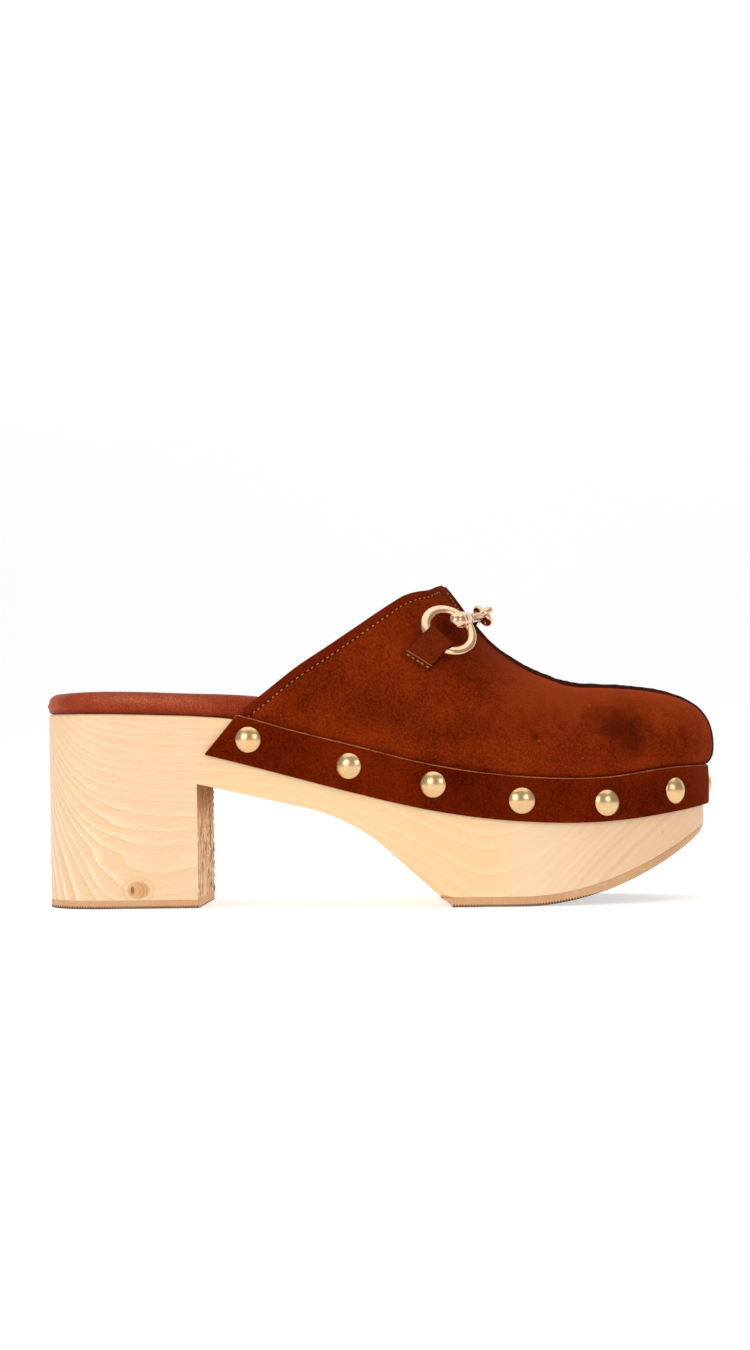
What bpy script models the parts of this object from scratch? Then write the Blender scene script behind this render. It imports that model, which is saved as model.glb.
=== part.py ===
"""Mule clog for the right foot.

A one-piece wooden platform sole with a block heel carries a suede upper, whose margin is let into a
rabbet round the edge of the wood and held by a nailed band. A padded insole lies on the wood, rubber
is glued under heel and forefoot, and a jointed bit lies across the instep in two suede tabs.

Sizes are millimetres. h runs forward from the back of the heel, y is positive on the medial side, and
z is the height above the floor. place() turns (h, y, z) into metres in the part's own frame, whose
origin is on the floor under the middle of the part's box.
"""

import math
from collections import namedtuple

import bmesh
import bpy
import numpy as np

for old in list(bpy.data.objects):
    bpy.data.objects.remove(old)

MM = 0.001
GAP = 0.3
BOX_MIDDLE = (126.96, -0.80, 0.0)

# Plan of the wooden platform: a rounded heel, a table of half widths, and a rounded toe
LENGTH = 249.5
HEEL_ROUND = 28.0
HEEL_POWER = 2.3
TOE_TIP_Y = 6.0
Width = namedtuple("Width", "h reach")
Plan = namedtuple("Plan", "sign toe_power rows")
PLAN = {
    "lateral": Plan(-1, 1.9, [
        Width(28, 31.0), Width(60, 31.0), Width(100, 33.2), Width(140, 41.2), Width(168, 45.5),
    ]),
    "medial": Plan(1, 2.2, [
        Width(28, 31.0), Width(60, 30.2), Width(105, 28.8), Width(145, 35.0), Width(188, 43.5),
    ]),
}

# Top of the wood under the insole, and the band's two edges
Height = namedtuple("Height", "h z")
SEAT = [
    Height(0, 73.2), Height(22, 73.2), Height(45, 72.5), Height(60, 71.8), Height(74, 70.3),
    Height(93, 65.6), Height(115, 59.8), Height(146, 51.9), Height(179, 46.8), Height(208, 45.7),
    Height(238, 48.6), Height(252, 48.8),
]
Strip = namedtuple("Strip", "h top foot")
BAND = [
    Strip(57, 76.2, 58.8), Strip(76, 71.9, 53.9), Strip(95, 66.4, 48.8), Strip(117, 60.8, 43.0),
    Strip(148, 52.9, 35.8), Strip(181, 48.1, 31.4), Strip(210, 47.2, 30.7), Strip(239, 50.5, 34.0),
    Strip(252, 50.6, 36.4),
]
BAND_THICK = 1.8
BAND_BEVEL = 0.5
BAND_REAR_TOP = 74.6
BAND_REAR_FOOT = 62.6

# Underside: heel lift, breast, arch of two straight runs and one arc, tread with its toe spring
LIFT_THICK = 2.9
BREAST_H = 59.2
BREAST_TOP = 46.5
ARCH_SLOPE_DEG = 13.0
ARCH_RAMP_DEG = 42.0
ARCH_TOE_H = 154.2
ARCH_RADIUS = 67.0
TREAD_THICK = 3.3
SPRING_H = 181.5
SPRING_RATE = 0.0072
SPRING_POWER = 1.93
WOOD_EDGE = 1.0

# Insole
PAD_EDGE_INSET = 2.7
PAD_EDGE_FROM = 63.0
PAD_EDGE_TO = 71.0
Pad = namedtuple("Pad", "h thick")
PAD = [
    Pad(0, 7.4), Pad(14, 7.9), Pad(40, 8.2), Pad(58, 8.1), Pad(72, 8.8), Pad(86, 9.8), Pad(102, 8.0),
    Pad(126, 5.2), Pad(150, 4.0), Pad(252, 4.0),
]
Layer = namedtuple("Layer", "inset share")
PAD_LAYERS = [
    Layer(1.2, 0.0), Layer(0.0, 0.22), Layer(-0.4, 0.5), Layer(0.5, 0.8), Layer(3.0, 1.0),
]

# Upper: topline, crown of the sections (carried on behind the throat), wall and centre seam
WALL = 1.8
RABBET = WALL + GAP
LEDGE_UP = 3.0
UPPER_REAR_H = 77.0
PEAK_H = 152.0
POLE_H = 203.0
TOPLINE = [
    Height(77.0, 73.8), Height(85.0, 80.2), Height(97.0, 89.5), Height(109.0, 97.3), Height(120.8, 105.0),
    Height(132.4, 112.5), Height(138.2, 115.9), Height(143.5, 117.7), Height(147.8, 118.6),
    Height(152.0, 119.6),
]
CROWN = [
    Height(77, 162), Height(90, 158), Height(110, 150), Height(130, 138), Height(142, 128.5),
    Height(152, 119.6), Height(159.3, 109.2), Height(168.8, 97.7), Height(176.5, 91.5), Height(184, 86.9),
    Height(190, 84.1), Height(196.5, 81.8), Height(203, 80.6),
]
Form = namedtuple("Form", "h power swell")
FORM = [
    Form(77, 2.0, 0.8), Form(120, 1.95, 1.2), Form(152, 1.9, 1.6), Form(180, 2.1, 2.2), Form(203, 2.35, 2.8),
]
TOE_POWER = 3.8
TOE_SWELL = 3.3
TOE_TILT = 0.055
SWELL_ROOT = 2.2
SEAM_HALF = 1.5
SEAM_SIDE = 0.3
SEAM_RAISE = 1.2
THROAT_RIBS = [77, 82, 88, 95, 103, 111, 119, 127, 134, 140, 145, 149, 152]
VAMP_RIBS = [157.5, 163.5, 170, 177, 184, 190.5, 197, 203]
TOE_RIBS = 10
RIB_ROWS = 11

# Studs: places along the band and up its height, with one on the tip's medial side
STUD_RADIUS = 5.2
STUD_RISE = 3.4
STUD_SEGMENTS = 14
STUD_RINGS = 4
Stud = namedtuple("Stud", "h share")
SIDE_STUDS = [
    Stud(79.0, 0.54), Stud(117.1, 0.54), Stud(148.6, 0.57), Stud(180.6, 0.46), Stud(211.4, 0.42),
    Stud(236.5, 0.47),
]
TOE_STUD_Y = 14.0
TOE_STUD_SHARE = 0.5

# Bit: rings on the vamp, tabs that hold them, bars that meet over the seam
RING_AT = (153.05, 100.3)
TAB_ROOT_AT = (140.95, 88.8)
RING_RADIUS = 9.05
WIRE_RADIUS = 1.9
WIRE_FLAT = 1.25
RING_LIFT = 3.7
TAB_WIDTH = 11.2
Fold = namedtuple("Fold", "along under over")
TAB = [
    Fold(-20.0, 0.0, 1.8), Fold(-16.6, 0.0, 2.4), Fold(-13.6, 0.0, 3.8), Fold(-11.2, 0.0, 6.2),
    Fold(-8.8, 0.0, 7.1), Fold(-6.6, 0.2, 6.7), Fold(-5.0, 1.2, 5.4), Fold(-4.2, 2.6, 3.9),
]
JOINT_H = 162.4
EYE_RADIUS = 3.0
EYE_WIRE = 1.0
EYE_LINK = 3.7
Turn = namedtuple("Turn", "along radius")
BARREL = [
    Turn(-8.2, 0.0), Turn(-7.9, 1.4), Turn(-7.0, 2.6), Turn(-5.6, 3.25), Turn(-4.2, 3.25), Turn(-2.6, 2.9),
    Turn(2.6, 3.0), Turn(4.0, 2.7), Turn(5.2, 2.3),
]
NECK_RADIUS = 1.9
RING_SEGMENTS = 24
WIRE_SEGMENTS = 8
EYE_SEGMENTS = 14
TURN_SEGMENTS = 12


# Curves and plan of the last

def through(rows, column, h, level_ends=False):
    """Smooth curve through one column of a table: cubics whose slopes come from the neighbouring rows."""
    at = np.array([row.h for row in rows], float)
    value = np.array([getattr(row, column) for row in rows], float)
    slope = np.gradient(value, at)
    if level_ends:
        slope[[0, -1]] = 0.0
    h = np.clip(h, at[0], at[-1])
    i = np.clip(np.searchsorted(at, h, side="right") - 1, 0, len(at) - 2)
    span = at[i + 1] - at[i]
    t = (h - at[i]) / span
    before = (1 + 2 * t) * (1 - t) ** 2 * value[i] + t * (1 - t) ** 2 * span * slope[i]
    after = t * t * (3 - 2 * t) * value[i + 1] + t * t * (t - 1) * span * slope[i + 1]
    return before + after


def reach(side, h):
    """Half width of the wood: the table's curve, rounded off at the heel and drawn in to the toe's tip."""
    plan = PLAN[side]
    ball = plan.rows[-1]
    tip = plan.sign * TOE_TIP_Y
    behind = np.clip((HEEL_ROUND - h) / HEEL_ROUND, 0, 1)
    ahead = np.clip((h - ball.h) / (LENGTH - ball.h), 0, 1)
    width = through(plan.rows, "reach", h, level_ends=True)
    width = width * (1 - behind**HEEL_POWER) ** (1 / HEEL_POWER)
    return tip + (width - tip) * (1 - ahead**plan.toe_power) ** (1 / plan.toe_power)


def side_line(side):
    """One side of the plan, heel back to toe tip, as dense columns: h, y, outward normal, running length."""
    h = LENGTH * (1 - np.cos(np.linspace(0, np.pi, 801))) / 2
    y = PLAN[side].sign * reach(side, h)
    step = np.gradient(np.stack([h, y]), axis=1)
    step /= np.linalg.norm(step, axis=0)
    normal = PLAN[side].sign * np.stack([-step[1], step[0]])
    normal[:, 0] = (-1, 0)
    normal[:, -1] = (1, 0)
    length = np.concatenate([[0], np.cumsum(np.hypot(np.diff(h), np.diff(y)))])
    return {"h": h, "y": y, "normal_h": normal[0], "normal_y": normal[1], "length": length}


LINES = {side: side_line(side) for side in PLAN}


def column_at(side, column, h):
    return np.interp(h, LINES[side]["h"], LINES[side][column])


def edge(side, h, out):
    """Plan point (h, y) on a line parallel to the wood's edge, out millimetres outside it."""
    h = np.asarray(h, float)
    normal_h = column_at(side, "normal_h", h)
    normal_y = column_at(side, "normal_y", h)
    return np.stack([h + out * normal_h, column_at(side, "y", h) + out * normal_y], axis=-1)


def seam_y(h):
    """Plan of the centre seam: straight over the instep, drifting to the tip of the toe."""
    return TOE_TIP_Y * np.clip((h - PEAK_H) / (LENGTH - PEAK_H), 0, 1) ** 1.5


def toe_marks(side):
    """h of the toe ribs' feet, at even lengths along the edge from the pole's rib to the seam's edge."""
    line = LINES[side]
    start = np.interp(POLE_H, line["h"], line["length"])
    front = line["h"] > POLE_H
    order = PLAN[side].sign * -line["y"][front]
    stop = np.interp(-PLAN[side].sign * TOE_TIP_Y - SEAM_HALF, order, line["length"][front])
    return np.interp(np.linspace(start, stop, TOE_RIBS + 1)[1:], line["length"], line["h"])


SIDE_MARKS = np.array(THROAT_RIBS + VAMP_RIBS, float)
FEET = {side: np.concatenate([SIDE_MARKS, toe_marks(side)]) for side in PLAN}


# Meshes and solids

def place(points):
    """Millimetres on the last to metres in the part's frame."""
    return (np.asarray(points, float) - BOX_MIDDLE) * MM


def material(name, colour, roughness, metallic=0.0):
    made = bpy.data.materials.new(name)
    made.use_nodes = True
    shader = made.node_tree.nodes["Principled BSDF"]
    shader.inputs["Base Color"].default_value = (*colour, 1.0)
    shader.inputs["Roughness"].default_value = roughness
    shader.inputs["Metallic"].default_value = metallic
    return made


def solid(name, points, faces, finish=None, sharp_deg=35):
    """Closed object from points and faces: doubled points merged, faces outward, rounds shaded smooth."""
    mesh = bpy.data.meshes.new(name)
    mesh.from_pydata(place(points).tolist(), [], [list(face) for face in faces])
    shape = bmesh.new()
    shape.from_mesh(mesh)
    bmesh.ops.remove_doubles(shape, verts=shape.verts, dist=1e-6)
    bmesh.ops.dissolve_degenerate(shape, edges=shape.edges, dist=1e-6)
    bmesh.ops.recalc_face_normals(shape, faces=shape.faces)
    shape.to_mesh(mesh)
    shape.free()
    mesh.shade_smooth()
    mesh.set_sharp_from_angle(angle=math.radians(sharp_deg))
    made = bpy.data.objects.new(name, mesh)
    bpy.context.scene.collection.objects.link(made)
    if finish:
        mesh.materials.append(finish)
    return made


def combine(target, other, operation):
    """Boolean of target with a helper object, which is left out of renders."""
    other.hide_render = True
    other.display_type = "WIRE"
    modifier = target.modifiers.new(other.name, "BOOLEAN")
    modifier.operation = operation
    modifier.solver = "EXACT"
    modifier.object = other


def loft(rings):
    """Points and faces of a skin through equal rings of points, with both ends closed."""
    rings = np.asarray(rings, float)
    count, size = rings.shape[:2]
    faces = []
    for i in range(count - 1):
        for j in range(size):
            k = (j + 1) % size
            faces.append((i * size + j, i * size + k, (i + 1) * size + k, (i + 1) * size + j))
    faces.append(tuple(range(size)))
    faces.append(tuple(range((count - 1) * size, count * size)))
    return rings.reshape(-1, 3), faces


def stack(stations, levels):
    """Points and faces of outlines piled up. A level is (out, z), numbers or one value for each station.

    Each outline runs along the lateral edge and back along the medial one. Strips from side to side
    close the lowest and the highest.
    """
    count = len(stations)
    rings = []
    for out, z in levels:
        height = np.broadcast_to(z, count)
        half = [np.column_stack([edge(side, stations, out), height]) for side in PLAN]
        rings.append(np.concatenate([half[0], half[1][::-1]]))
    points, faces = loft(rings)
    faces = faces[:-2]
    size = 2 * count
    for base in (0, (len(levels) - 1) * size):
        for i in range(count - 1):
            faces.append((base + i, base + i + 1, base + size - 2 - i, base + size - 1 - i))
    return points, faces


def torus(centre, axis_a, axis_b, radius, wire, flat, around, across):
    """Ring in the plane of two unit axes, as points and faces. wire and flat are the wire's half sizes."""
    normal = np.cross(axis_a, axis_b)
    turn = np.linspace(0, 2 * np.pi, around, endpoint=False)
    roll = np.linspace(0, 2 * np.pi, across, endpoint=False)
    spoke = np.cos(turn)[:, None] * axis_a + np.sin(turn)[:, None] * axis_b
    out = (radius + wire * np.cos(roll))[None, :, None] * spoke[:, None, :]
    points = centre + out + (flat * np.sin(roll))[None, :, None] * normal
    faces = []
    for i in range(around):
        for j in range(across):
            k, m = (i + 1) % around, (j + 1) % across
            faces.append((i * across + j, k * across + j, k * across + m, i * across + m))
    return points.reshape(-1, 3), faces


def turned(start, axis, side_axis, profile, segments):
    """Turned solid: circles of the profile's radii along an axis, a zero radius closing to a point."""
    other = np.cross(axis, side_axis)
    angle = np.linspace(0, 2 * np.pi, segments, endpoint=False)
    spoke = np.cos(angle)[:, None] * side_axis + np.sin(angle)[:, None] * other
    return loft([start + along * axis + radius * spoke for along, radius in profile])


def unit(vector):
    return vector / np.linalg.norm(vector)


# Wooden sole, heel lift and forefoot tread

def spring(h, out):
    """Height of a line out millimetres off the tread's underside: level, then climbing by a power law."""
    run = np.maximum(h - SPRING_H, 0)
    slope = SPRING_RATE * SPRING_POWER * run ** (SPRING_POWER - 1)
    return SPRING_RATE * run**SPRING_POWER + out * np.hypot(1, slope)


def whole_stations():
    """Stations along the whole wood, close together round the heel and the toe."""
    heel = HEEL_ROUND * (1 - np.cos(np.linspace(0, np.pi / 2, 9)))
    level = np.linspace(HEEL_ROUND, SPRING_H, 14)[1:]
    rising = np.linspace(SPRING_H, POLE_H, 4)[1:-1]
    toe = POLE_H + (LENGTH - POLE_H) * np.sin(np.linspace(0, np.pi / 2, 12))
    return np.concatenate([heel, level, rising, toe])


def arch_cutter():
    """Block that saws out the space between the heel's breast and the forefoot, wider than the wood."""
    slope = math.radians(ARCH_SLOPE_DEG)
    ramp = math.radians(ARCH_RAMP_DEG)
    run = BREAST_TOP + BREAST_H * math.tan(slope) - ARCH_TOE_H * math.tan(ramp)
    corner_h = run / (math.tan(slope) - math.tan(ramp))
    corner_z = (ARCH_TOE_H - corner_h) * math.tan(ramp)
    tangent = ARCH_RADIUS * math.tan((ramp - slope) / 2)
    centre_h = corner_h - tangent * math.cos(slope) - ARCH_RADIUS * math.sin(slope)
    centre_z = corner_z + tangent * math.sin(slope) - ARCH_RADIUS * math.cos(slope)
    angle = np.linspace(slope, ramp, 8)
    arc = np.column_stack([centre_h + ARCH_RADIUS * np.sin(angle), centre_z + ARCH_RADIUS * np.cos(angle)])
    below = 6.0
    profile = np.concatenate([
        [(BREAST_H, -below), (BREAST_H, BREAST_TOP)],
        arc,
        [(ARCH_TOE_H + below / math.tan(ramp), -below)],
    ])
    wide = 80.0
    rings = [np.insert(profile, 1, y, axis=1) for y in (-wide, wide)]
    return solid("arch_cutter", *loft(rings))


def rabbet_cutter():
    """Block along both edges of the wood, over the ledge that the upper's margin stands on."""
    outside = 4.0
    above = 9.0
    rear = UPPER_REAR_H - GAP
    rings = []
    for side, order in (("lateral", 1), ("medial", -1)):
        h = np.concatenate([[rear], FEET[side][1:], [LENGTH]])[::order]
        ledge = through(BAND, "foot", h) + LEDGE_UP
        top = through(SEAT, "z", h) + above
        corners = [(-RABBET, ledge), (-RABBET, top), (outside, top), (outside, ledge)]
        section = [np.column_stack([edge(side, h, out), z]) for out, z in corners]
        rings.extend(np.stack(section, axis=1)[order < 0:])
    return solid("rabbet_cutter", *loft(rings))


def make_sole(wood, rubber):
    stations = whole_stations()
    seat = through(SEAT, "z", stations)
    heel_foot = LIFT_THICK + GAP
    foot = np.where(stations < BREAST_H + HEEL_ROUND, heel_foot, spring(stations, TREAD_THICK + GAP))
    levels = [(0.0, foot), (0.0, seat - WOOD_EDGE), (-WOOD_EDGE, seat)]
    sole = solid("wooden_sole", *stack(stations, levels), wood)
    arch = arch_cutter()
    combine(sole, arch, "DIFFERENCE")
    combine(sole, rabbet_cutter(), "DIFFERENCE")
    heel = np.append(stations[stations < BREAST_H - 1], BREAST_H)
    solid("heel_lift", *stack(heel, [(0.0, 0.0), (0.0, LIFT_THICK)]), rubber)
    front = stations[stations > ARCH_TOE_H - HEEL_ROUND]
    layers = [(0.0, spring(front, 0.0)), (0.0, spring(front, TREAD_THICK))]
    tread = solid("forefoot_tread", *stack(front, layers), rubber)
    combine(tread, arch, "DIFFERENCE")


# Insole

def make_insole(leather):
    stations = whole_stations()
    blend = np.clip((stations - PAD_EDGE_FROM) / (PAD_EDGE_TO - PAD_EDGE_FROM), 0, 1)
    inset = PAD_EDGE_INSET * blend * blend * (3 - 2 * blend)
    bed = through(SEAT, "z", stations) + GAP
    thick = through(PAD, "thick", stations)
    levels = [(-inset - layer.inset, bed + layer.share * thick) for layer in PAD_LAYERS]
    solid("insole", *stack(stations, levels), leather)


# Upper

def rib_form(h):
    """Band top, crown, roundness and swell of the section at h."""
    at = np.minimum(h, POLE_H)
    return (
        through(BAND, "top", h),
        through(CROWN, "z", at),
        through(FORM, "power", at),
        through(FORM, "swell", at),
    )


def rib(side, foot_h, pole_h, top_z=None):
    """Outer line of one rib, from the margin's lower edge over the band's top to the crown or topline.

    Seen along the rib it is a quarter of a superellipse, swollen past the margin above the band.
    """
    sign = PLAN[side].sign
    foot = edge(side, foot_h, 0.0)
    pole = np.array([pole_h, seam_y(pole_h) + sign * SEAM_HALF])
    span = np.linalg.norm(foot - pole)
    heading = (foot - pole) / span
    band_top, crown, power, swell = rib_form(foot_h)
    forward = max(heading[0], 0.0) ** 2
    power = power + (TOE_POWER - power) * forward
    swell = swell + (TOE_SWELL - swell) * forward
    t = np.linspace(0, np.pi / 2, 361)
    out = np.cos(t) ** (2 / power)
    out[-1] = 0.0
    up = np.sin(t) ** (2 / power)
    radius = (span + swell) * out - swell * np.exp(-(crown - band_top) * up / SWELL_ROOT)
    z = band_top + (crown - TOE_TILT * forward * radius - band_top) * up
    if top_z is not None:
        keep = z < top_z
        radius = np.append(radius[keep], np.interp(top_z, z, radius))
        z = np.append(z[keep], top_z)
    length = np.concatenate([[0], np.cumsum(np.hypot(np.diff(radius), np.diff(z)))])
    even = np.linspace(0, length[-1], RIB_ROWS + 1)
    radius = np.interp(even, length, radius)
    z = np.interp(even, length, z)
    wall = np.column_stack([pole + radius[:, None] * heading, z])
    margin = [*foot, through(BAND, "foot", foot_h) + LEDGE_UP + GAP]
    return np.vstack([margin, wall])


def rib_grid(side):
    """Ribs of one half of the upper: upright sections to the pole, then a fan round the toe."""
    ribs = [rib(side, h, h, through(TOPLINE, "z", h)) for h in THROAT_RIBS[:-1]]
    ribs += [rib(side, h, h) for h in SIDE_MARKS[len(ribs):]]
    ribs += [rib(side, h, POLE_H) for h in FEET[side][len(SIDE_MARKS):]]
    return np.array(ribs)


def upper_sheet():
    """Outer sheet of the upper without thickness: points, faces, and how far each point is raised."""
    rows = RIB_ROWS + 2
    peak = len(THROAT_RIBS) - 1
    pole = len(SIDE_MARKS) - 1
    points, faces, borders = [], [], []
    for side in PLAN:
        grid = rib_grid(side)
        base = len(points)
        number = base + np.arange(grid.shape[0] * rows).reshape(grid.shape[0], rows)
        number[pole:, -1] = number[pole, -1]
        points.extend(grid.reshape(-1, 3))
        for i in range(grid.shape[0] - 1):
            for k in range(rows - 1):
                face = [number[i, k], number[i + 1, k], number[i + 1, k + 1], number[i, k + 1]]
                face = list(dict.fromkeys(face))
                faces.append(face if side == "lateral" else face[::-1])
        borders.append(np.concatenate([number[peak:pole, -1], number[-1, ::-1]]))
    lateral, medial = borders
    position = np.array(points)
    raised = np.zeros(len(points))
    columns = [lateral]
    for share in (SEAM_SIDE / (2 * SEAM_HALF), 1 - SEAM_SIDE / (2 * SEAM_HALF)):
        crest = position[lateral] + share * (position[medial] - position[lateral])
        columns.append(len(position) + np.arange(len(crest)))
        position = np.vstack([position, crest])
        lift = np.full(len(crest), SEAM_RAISE)
        lift[-2:] = 0.0
        raised = np.append(raised, lift)
    columns.append(medial)
    for left, right in zip(columns, columns[1:]):
        for i in range(len(left) - 1):
            faces.append([left[i], left[i + 1], right[i + 1], right[i]])
    return position, faces, raised


def thicken(points, faces, raised, wall):
    """Closed wall from an open sheet: outer skin, inner skin along the normals, and a rim between them."""
    normal = np.zeros_like(points)
    for face in faces:
        corner = points[face]
        across = np.cross(corner[2] - corner[0], corner[-1] - corner[1])
        normal[face] += across
    normal /= np.maximum(np.linalg.norm(normal, axis=1, keepdims=True), 1e-9)
    count = len(points)
    both = np.vstack([points + raised[:, None] * normal, points - wall * normal])
    seen = {}
    for face in faces:
        for a, b in zip(face, face[1:] + face[:1]):
            seen[(a, b)] = True
    rim = [(b, a, a + count, b + count) for a, b in seen if (b, a) not in seen]
    inner = [[index + count for index in reversed(face)] for face in faces]
    return both, faces + inner + rim


def make_upper(suede):
    position, faces, raised = upper_sheet()
    used = np.unique(np.concatenate([np.asarray(face) for face in faces]))
    renumber = np.full(len(position), -1)
    renumber[used] = np.arange(len(used))
    faces = [[int(renumber[index]) for index in face] for face in faces]
    solid("upper", *thicken(position[used], faces, raised[used], WALL), suede)


# Band and studs

def make_band(suede):
    """Strip round the margin with slanted rear ends and bevelled outer edges."""
    shear = (LENGTH - BAND_REAR_FOOT) / (LENGTH - BAND_REAR_TOP)
    outer = GAP + BAND_THICK
    rings = []
    for side, order in (("lateral", 1), ("medial", -1)):
        top_h = np.concatenate([[BAND_REAR_TOP], FEET[side][1:], [LENGTH]])[::order]
        foot_h = LENGTH - (LENGTH - top_h) * shear
        top = through(BAND, "top", top_h)
        foot = through(BAND, "foot", foot_h)
        corners = [
            (GAP, foot_h, foot), (outer - BAND_BEVEL, foot_h, foot), (outer, foot_h, foot + BAND_BEVEL),
            (outer, top_h, top - BAND_BEVEL), (outer - BAND_BEVEL, top_h, top), (GAP, top_h, top),
        ]
        section = [np.column_stack([edge(side, h, out), z]) for out, h, z in corners]
        rings.extend(np.stack(section, axis=1)[order < 0:])
    solid("band", *loft(rings), suede)


def stud_marks():
    """(side, h, share of the band's height) of every stud: lateral side, tip, and back on the medial side."""
    line = LINES["medial"]
    front = line["h"] > POLE_H
    toe_h = np.interp(-TOE_STUD_Y, -line["y"][front], line["h"][front])
    lateral = [("lateral", *stud) for stud in SIDE_STUDS]
    medial = [("medial", *stud) for stud in reversed(SIDE_STUDS)]
    return lateral + [("medial", toe_h, TOE_STUD_SHARE)] + medial


def make_studs(brass):
    """Domed nail heads, each square to the band where it sits."""
    half = math.atan2(STUD_RISE, STUD_RADIUS)
    ball = STUD_RADIUS / math.sin(2 * half)
    dome = []
    for angle in np.linspace(2 * half, 0, STUD_RINGS + 1):
        dome.append((ball * (math.cos(angle) - math.cos(2 * half)), ball * math.sin(angle)))
    seat = 2 * GAP + BAND_THICK
    for number, (side, h, share) in enumerate(stud_marks(), start=1):
        foot = through(BAND, "foot", h)
        height = foot + share * (through(BAND, "top", h) - foot)
        start = np.append(edge(side, h, seat), height)
        axis = np.array([column_at(side, "normal_h", h), column_at(side, "normal_y", h), 0.0])
        upright = np.array([0.0, 0.0, 1.0])
        points, faces = turned(start, axis, upright, dome, STUD_SEGMENTS)
        solid(f"stud_{number:02d}", points, faces, brass, sharp_deg=60)


# Bit, rings and tabs

def vamp(side, h, z):
    """Point of the upper's outer face at a given h and height, for sections behind the pole."""
    sign = PLAN[side].sign
    band_top, crown, power, swell = rib_form(h)
    up = np.clip((z - band_top) / (crown - band_top), 0, 1)
    out = (1 - up**power) ** (1 / power)
    pole = seam_y(h) + sign * SEAM_HALF
    span = abs(column_at(side, "y", h) - pole)
    radius = (span + swell) * out - swell * np.exp(-(z - band_top) / SWELL_ROOT)
    return np.array([h, pole + sign * radius, z])


def vamp_normal(side, h, z):
    step = 0.5
    along = vamp(side, h + step, z) - vamp(side, h - step, z)
    upward = vamp(side, h, z + step) - vamp(side, h, z - step)
    return unit(np.cross(along, upward)) * -PLAN[side].sign


def ring_frame(side):
    """Middle of a ring, its axis from the tab towards the bar, its axis across, and its normal."""
    middle = vamp(side, *RING_AT)
    normal = vamp_normal(side, *RING_AT)
    along = middle - vamp(side, *TAB_ROOT_AT)
    along = unit(along - np.dot(along, normal) * normal)
    return middle + RING_LIFT * normal, along, np.cross(normal, along), normal


def joint_point():
    """Middle of the bit, its linked eyes just clear of the raised seam."""
    step = 0.5
    fall = through(CROWN, "z", JOINT_H + step) - through(CROWN, "z", JOINT_H - step)
    normal = unit(np.array([-fall, 0.0, 2 * step]))
    ridge = np.array([JOINT_H, seam_y(JOINT_H), through(CROWN, "z", JOINT_H)])
    return ridge + (SEAM_RAISE + 2 * GAP + EYE_RADIUS + EYE_WIRE) * normal, normal


def ring_clearance(side, name):
    """Tunnel for the ring's wire through a piece that holds it."""
    centre, along, across, _ = ring_frame(side)
    wire = (WIRE_RADIUS + GAP, WIRE_FLAT + GAP)
    return solid(name, *torus(centre, along, across, RING_RADIUS, *wire, RING_SEGMENTS, WIRE_SEGMENTS))


def make_ring(side, brass):
    centre, along, across, _ = ring_frame(side)
    wire = (WIRE_RADIUS, WIRE_FLAT)
    shape = torus(centre, along, across, RING_RADIUS, *wire, RING_SEGMENTS, WIRE_SEGMENTS)
    solid(f"ring_{side}", *shape, brass, sharp_deg=60)


def make_tab(side, suede):
    """Folded strap on the vamp, its fold round the ring and its ends sewn down."""
    middle = vamp(side, *RING_AT)
    _, along, across, _ = ring_frame(side)
    rings = []
    for fold in TAB:
        ring = []
        for share, lift in ((-0.5, fold.under), (0.5, fold.under), (0.5, fold.over), (-0.5, fold.over)):
            mark = middle + fold.along * along + share * TAB_WIDTH * across
            ground = vamp(side, mark[0], mark[2])
            ring.append(ground + (GAP + lift) * vamp_normal(side, mark[0], mark[2]))
        rings.append(ring)
    tab = solid(f"ring_tab_{side}", *loft(rings), suede)
    combine(tab, ring_clearance(side, f"tab_tunnel_{side}"), "DIFFERENCE")


def make_bar(side, brass):
    """Half of the bit: a barrel threaded by its ring, a neck, and an eye linked with the other half's."""
    centre, _, _, normal = ring_frame(side)
    joint, ridge_normal = joint_point()
    towards = joint - centre
    towards = unit(towards - np.dot(towards, normal) * normal)
    start = centre + RING_RADIUS * towards
    axis = unit(joint - start)
    eye = joint - EYE_LINK / 2 * axis
    upright = unit(ridge_normal - np.dot(ridge_normal, axis) * axis)
    neck_end = np.linalg.norm(eye - start) - EYE_RADIUS
    profile = BARREL + [Turn(neck_end, NECK_RADIUS)]
    shape = turned(start, axis, upright, profile, TURN_SEGMENTS)
    bar = solid(f"bit_bar_{side}", *shape, brass, sharp_deg=60)
    second = upright if side == "lateral" else np.cross(axis, upright)
    shape = torus(eye, axis, second, EYE_RADIUS, EYE_WIRE, EYE_WIRE, EYE_SEGMENTS, WIRE_SEGMENTS)
    combine(bar, solid(f"bit_eye_{side}", *shape), "UNION")
    combine(bar, ring_clearance(side, f"bar_tunnel_{side}"), "DIFFERENCE")


pine = material("pine", (0.86, 0.62, 0.36), 0.5)
tan_rubber = material("tan rubber", (0.55, 0.33, 0.17), 0.8)
sock_leather = material("insole leather", (0.34, 0.08, 0.04), 0.45)
brown_suede = material("brown suede", (0.21, 0.035, 0.008), 0.95)
band_suede = material("band suede", (0.13, 0.018, 0.004), 0.95)
gold_metal = material("pale gold metal", (0.85, 0.68, 0.42), 0.2, 1.0)

make_sole(pine, tan_rubber)
make_insole(sock_leather)
make_upper(brown_suede)
make_band(band_suede)
make_studs(gold_metal)
for half in PLAN:
    make_ring(half, gold_metal)
    make_tab(half, brown_suede)
    make_bar(half, gold_metal)
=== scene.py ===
import bmesh
import bpy
import numpy as np
from mathutils import Matrix


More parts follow.
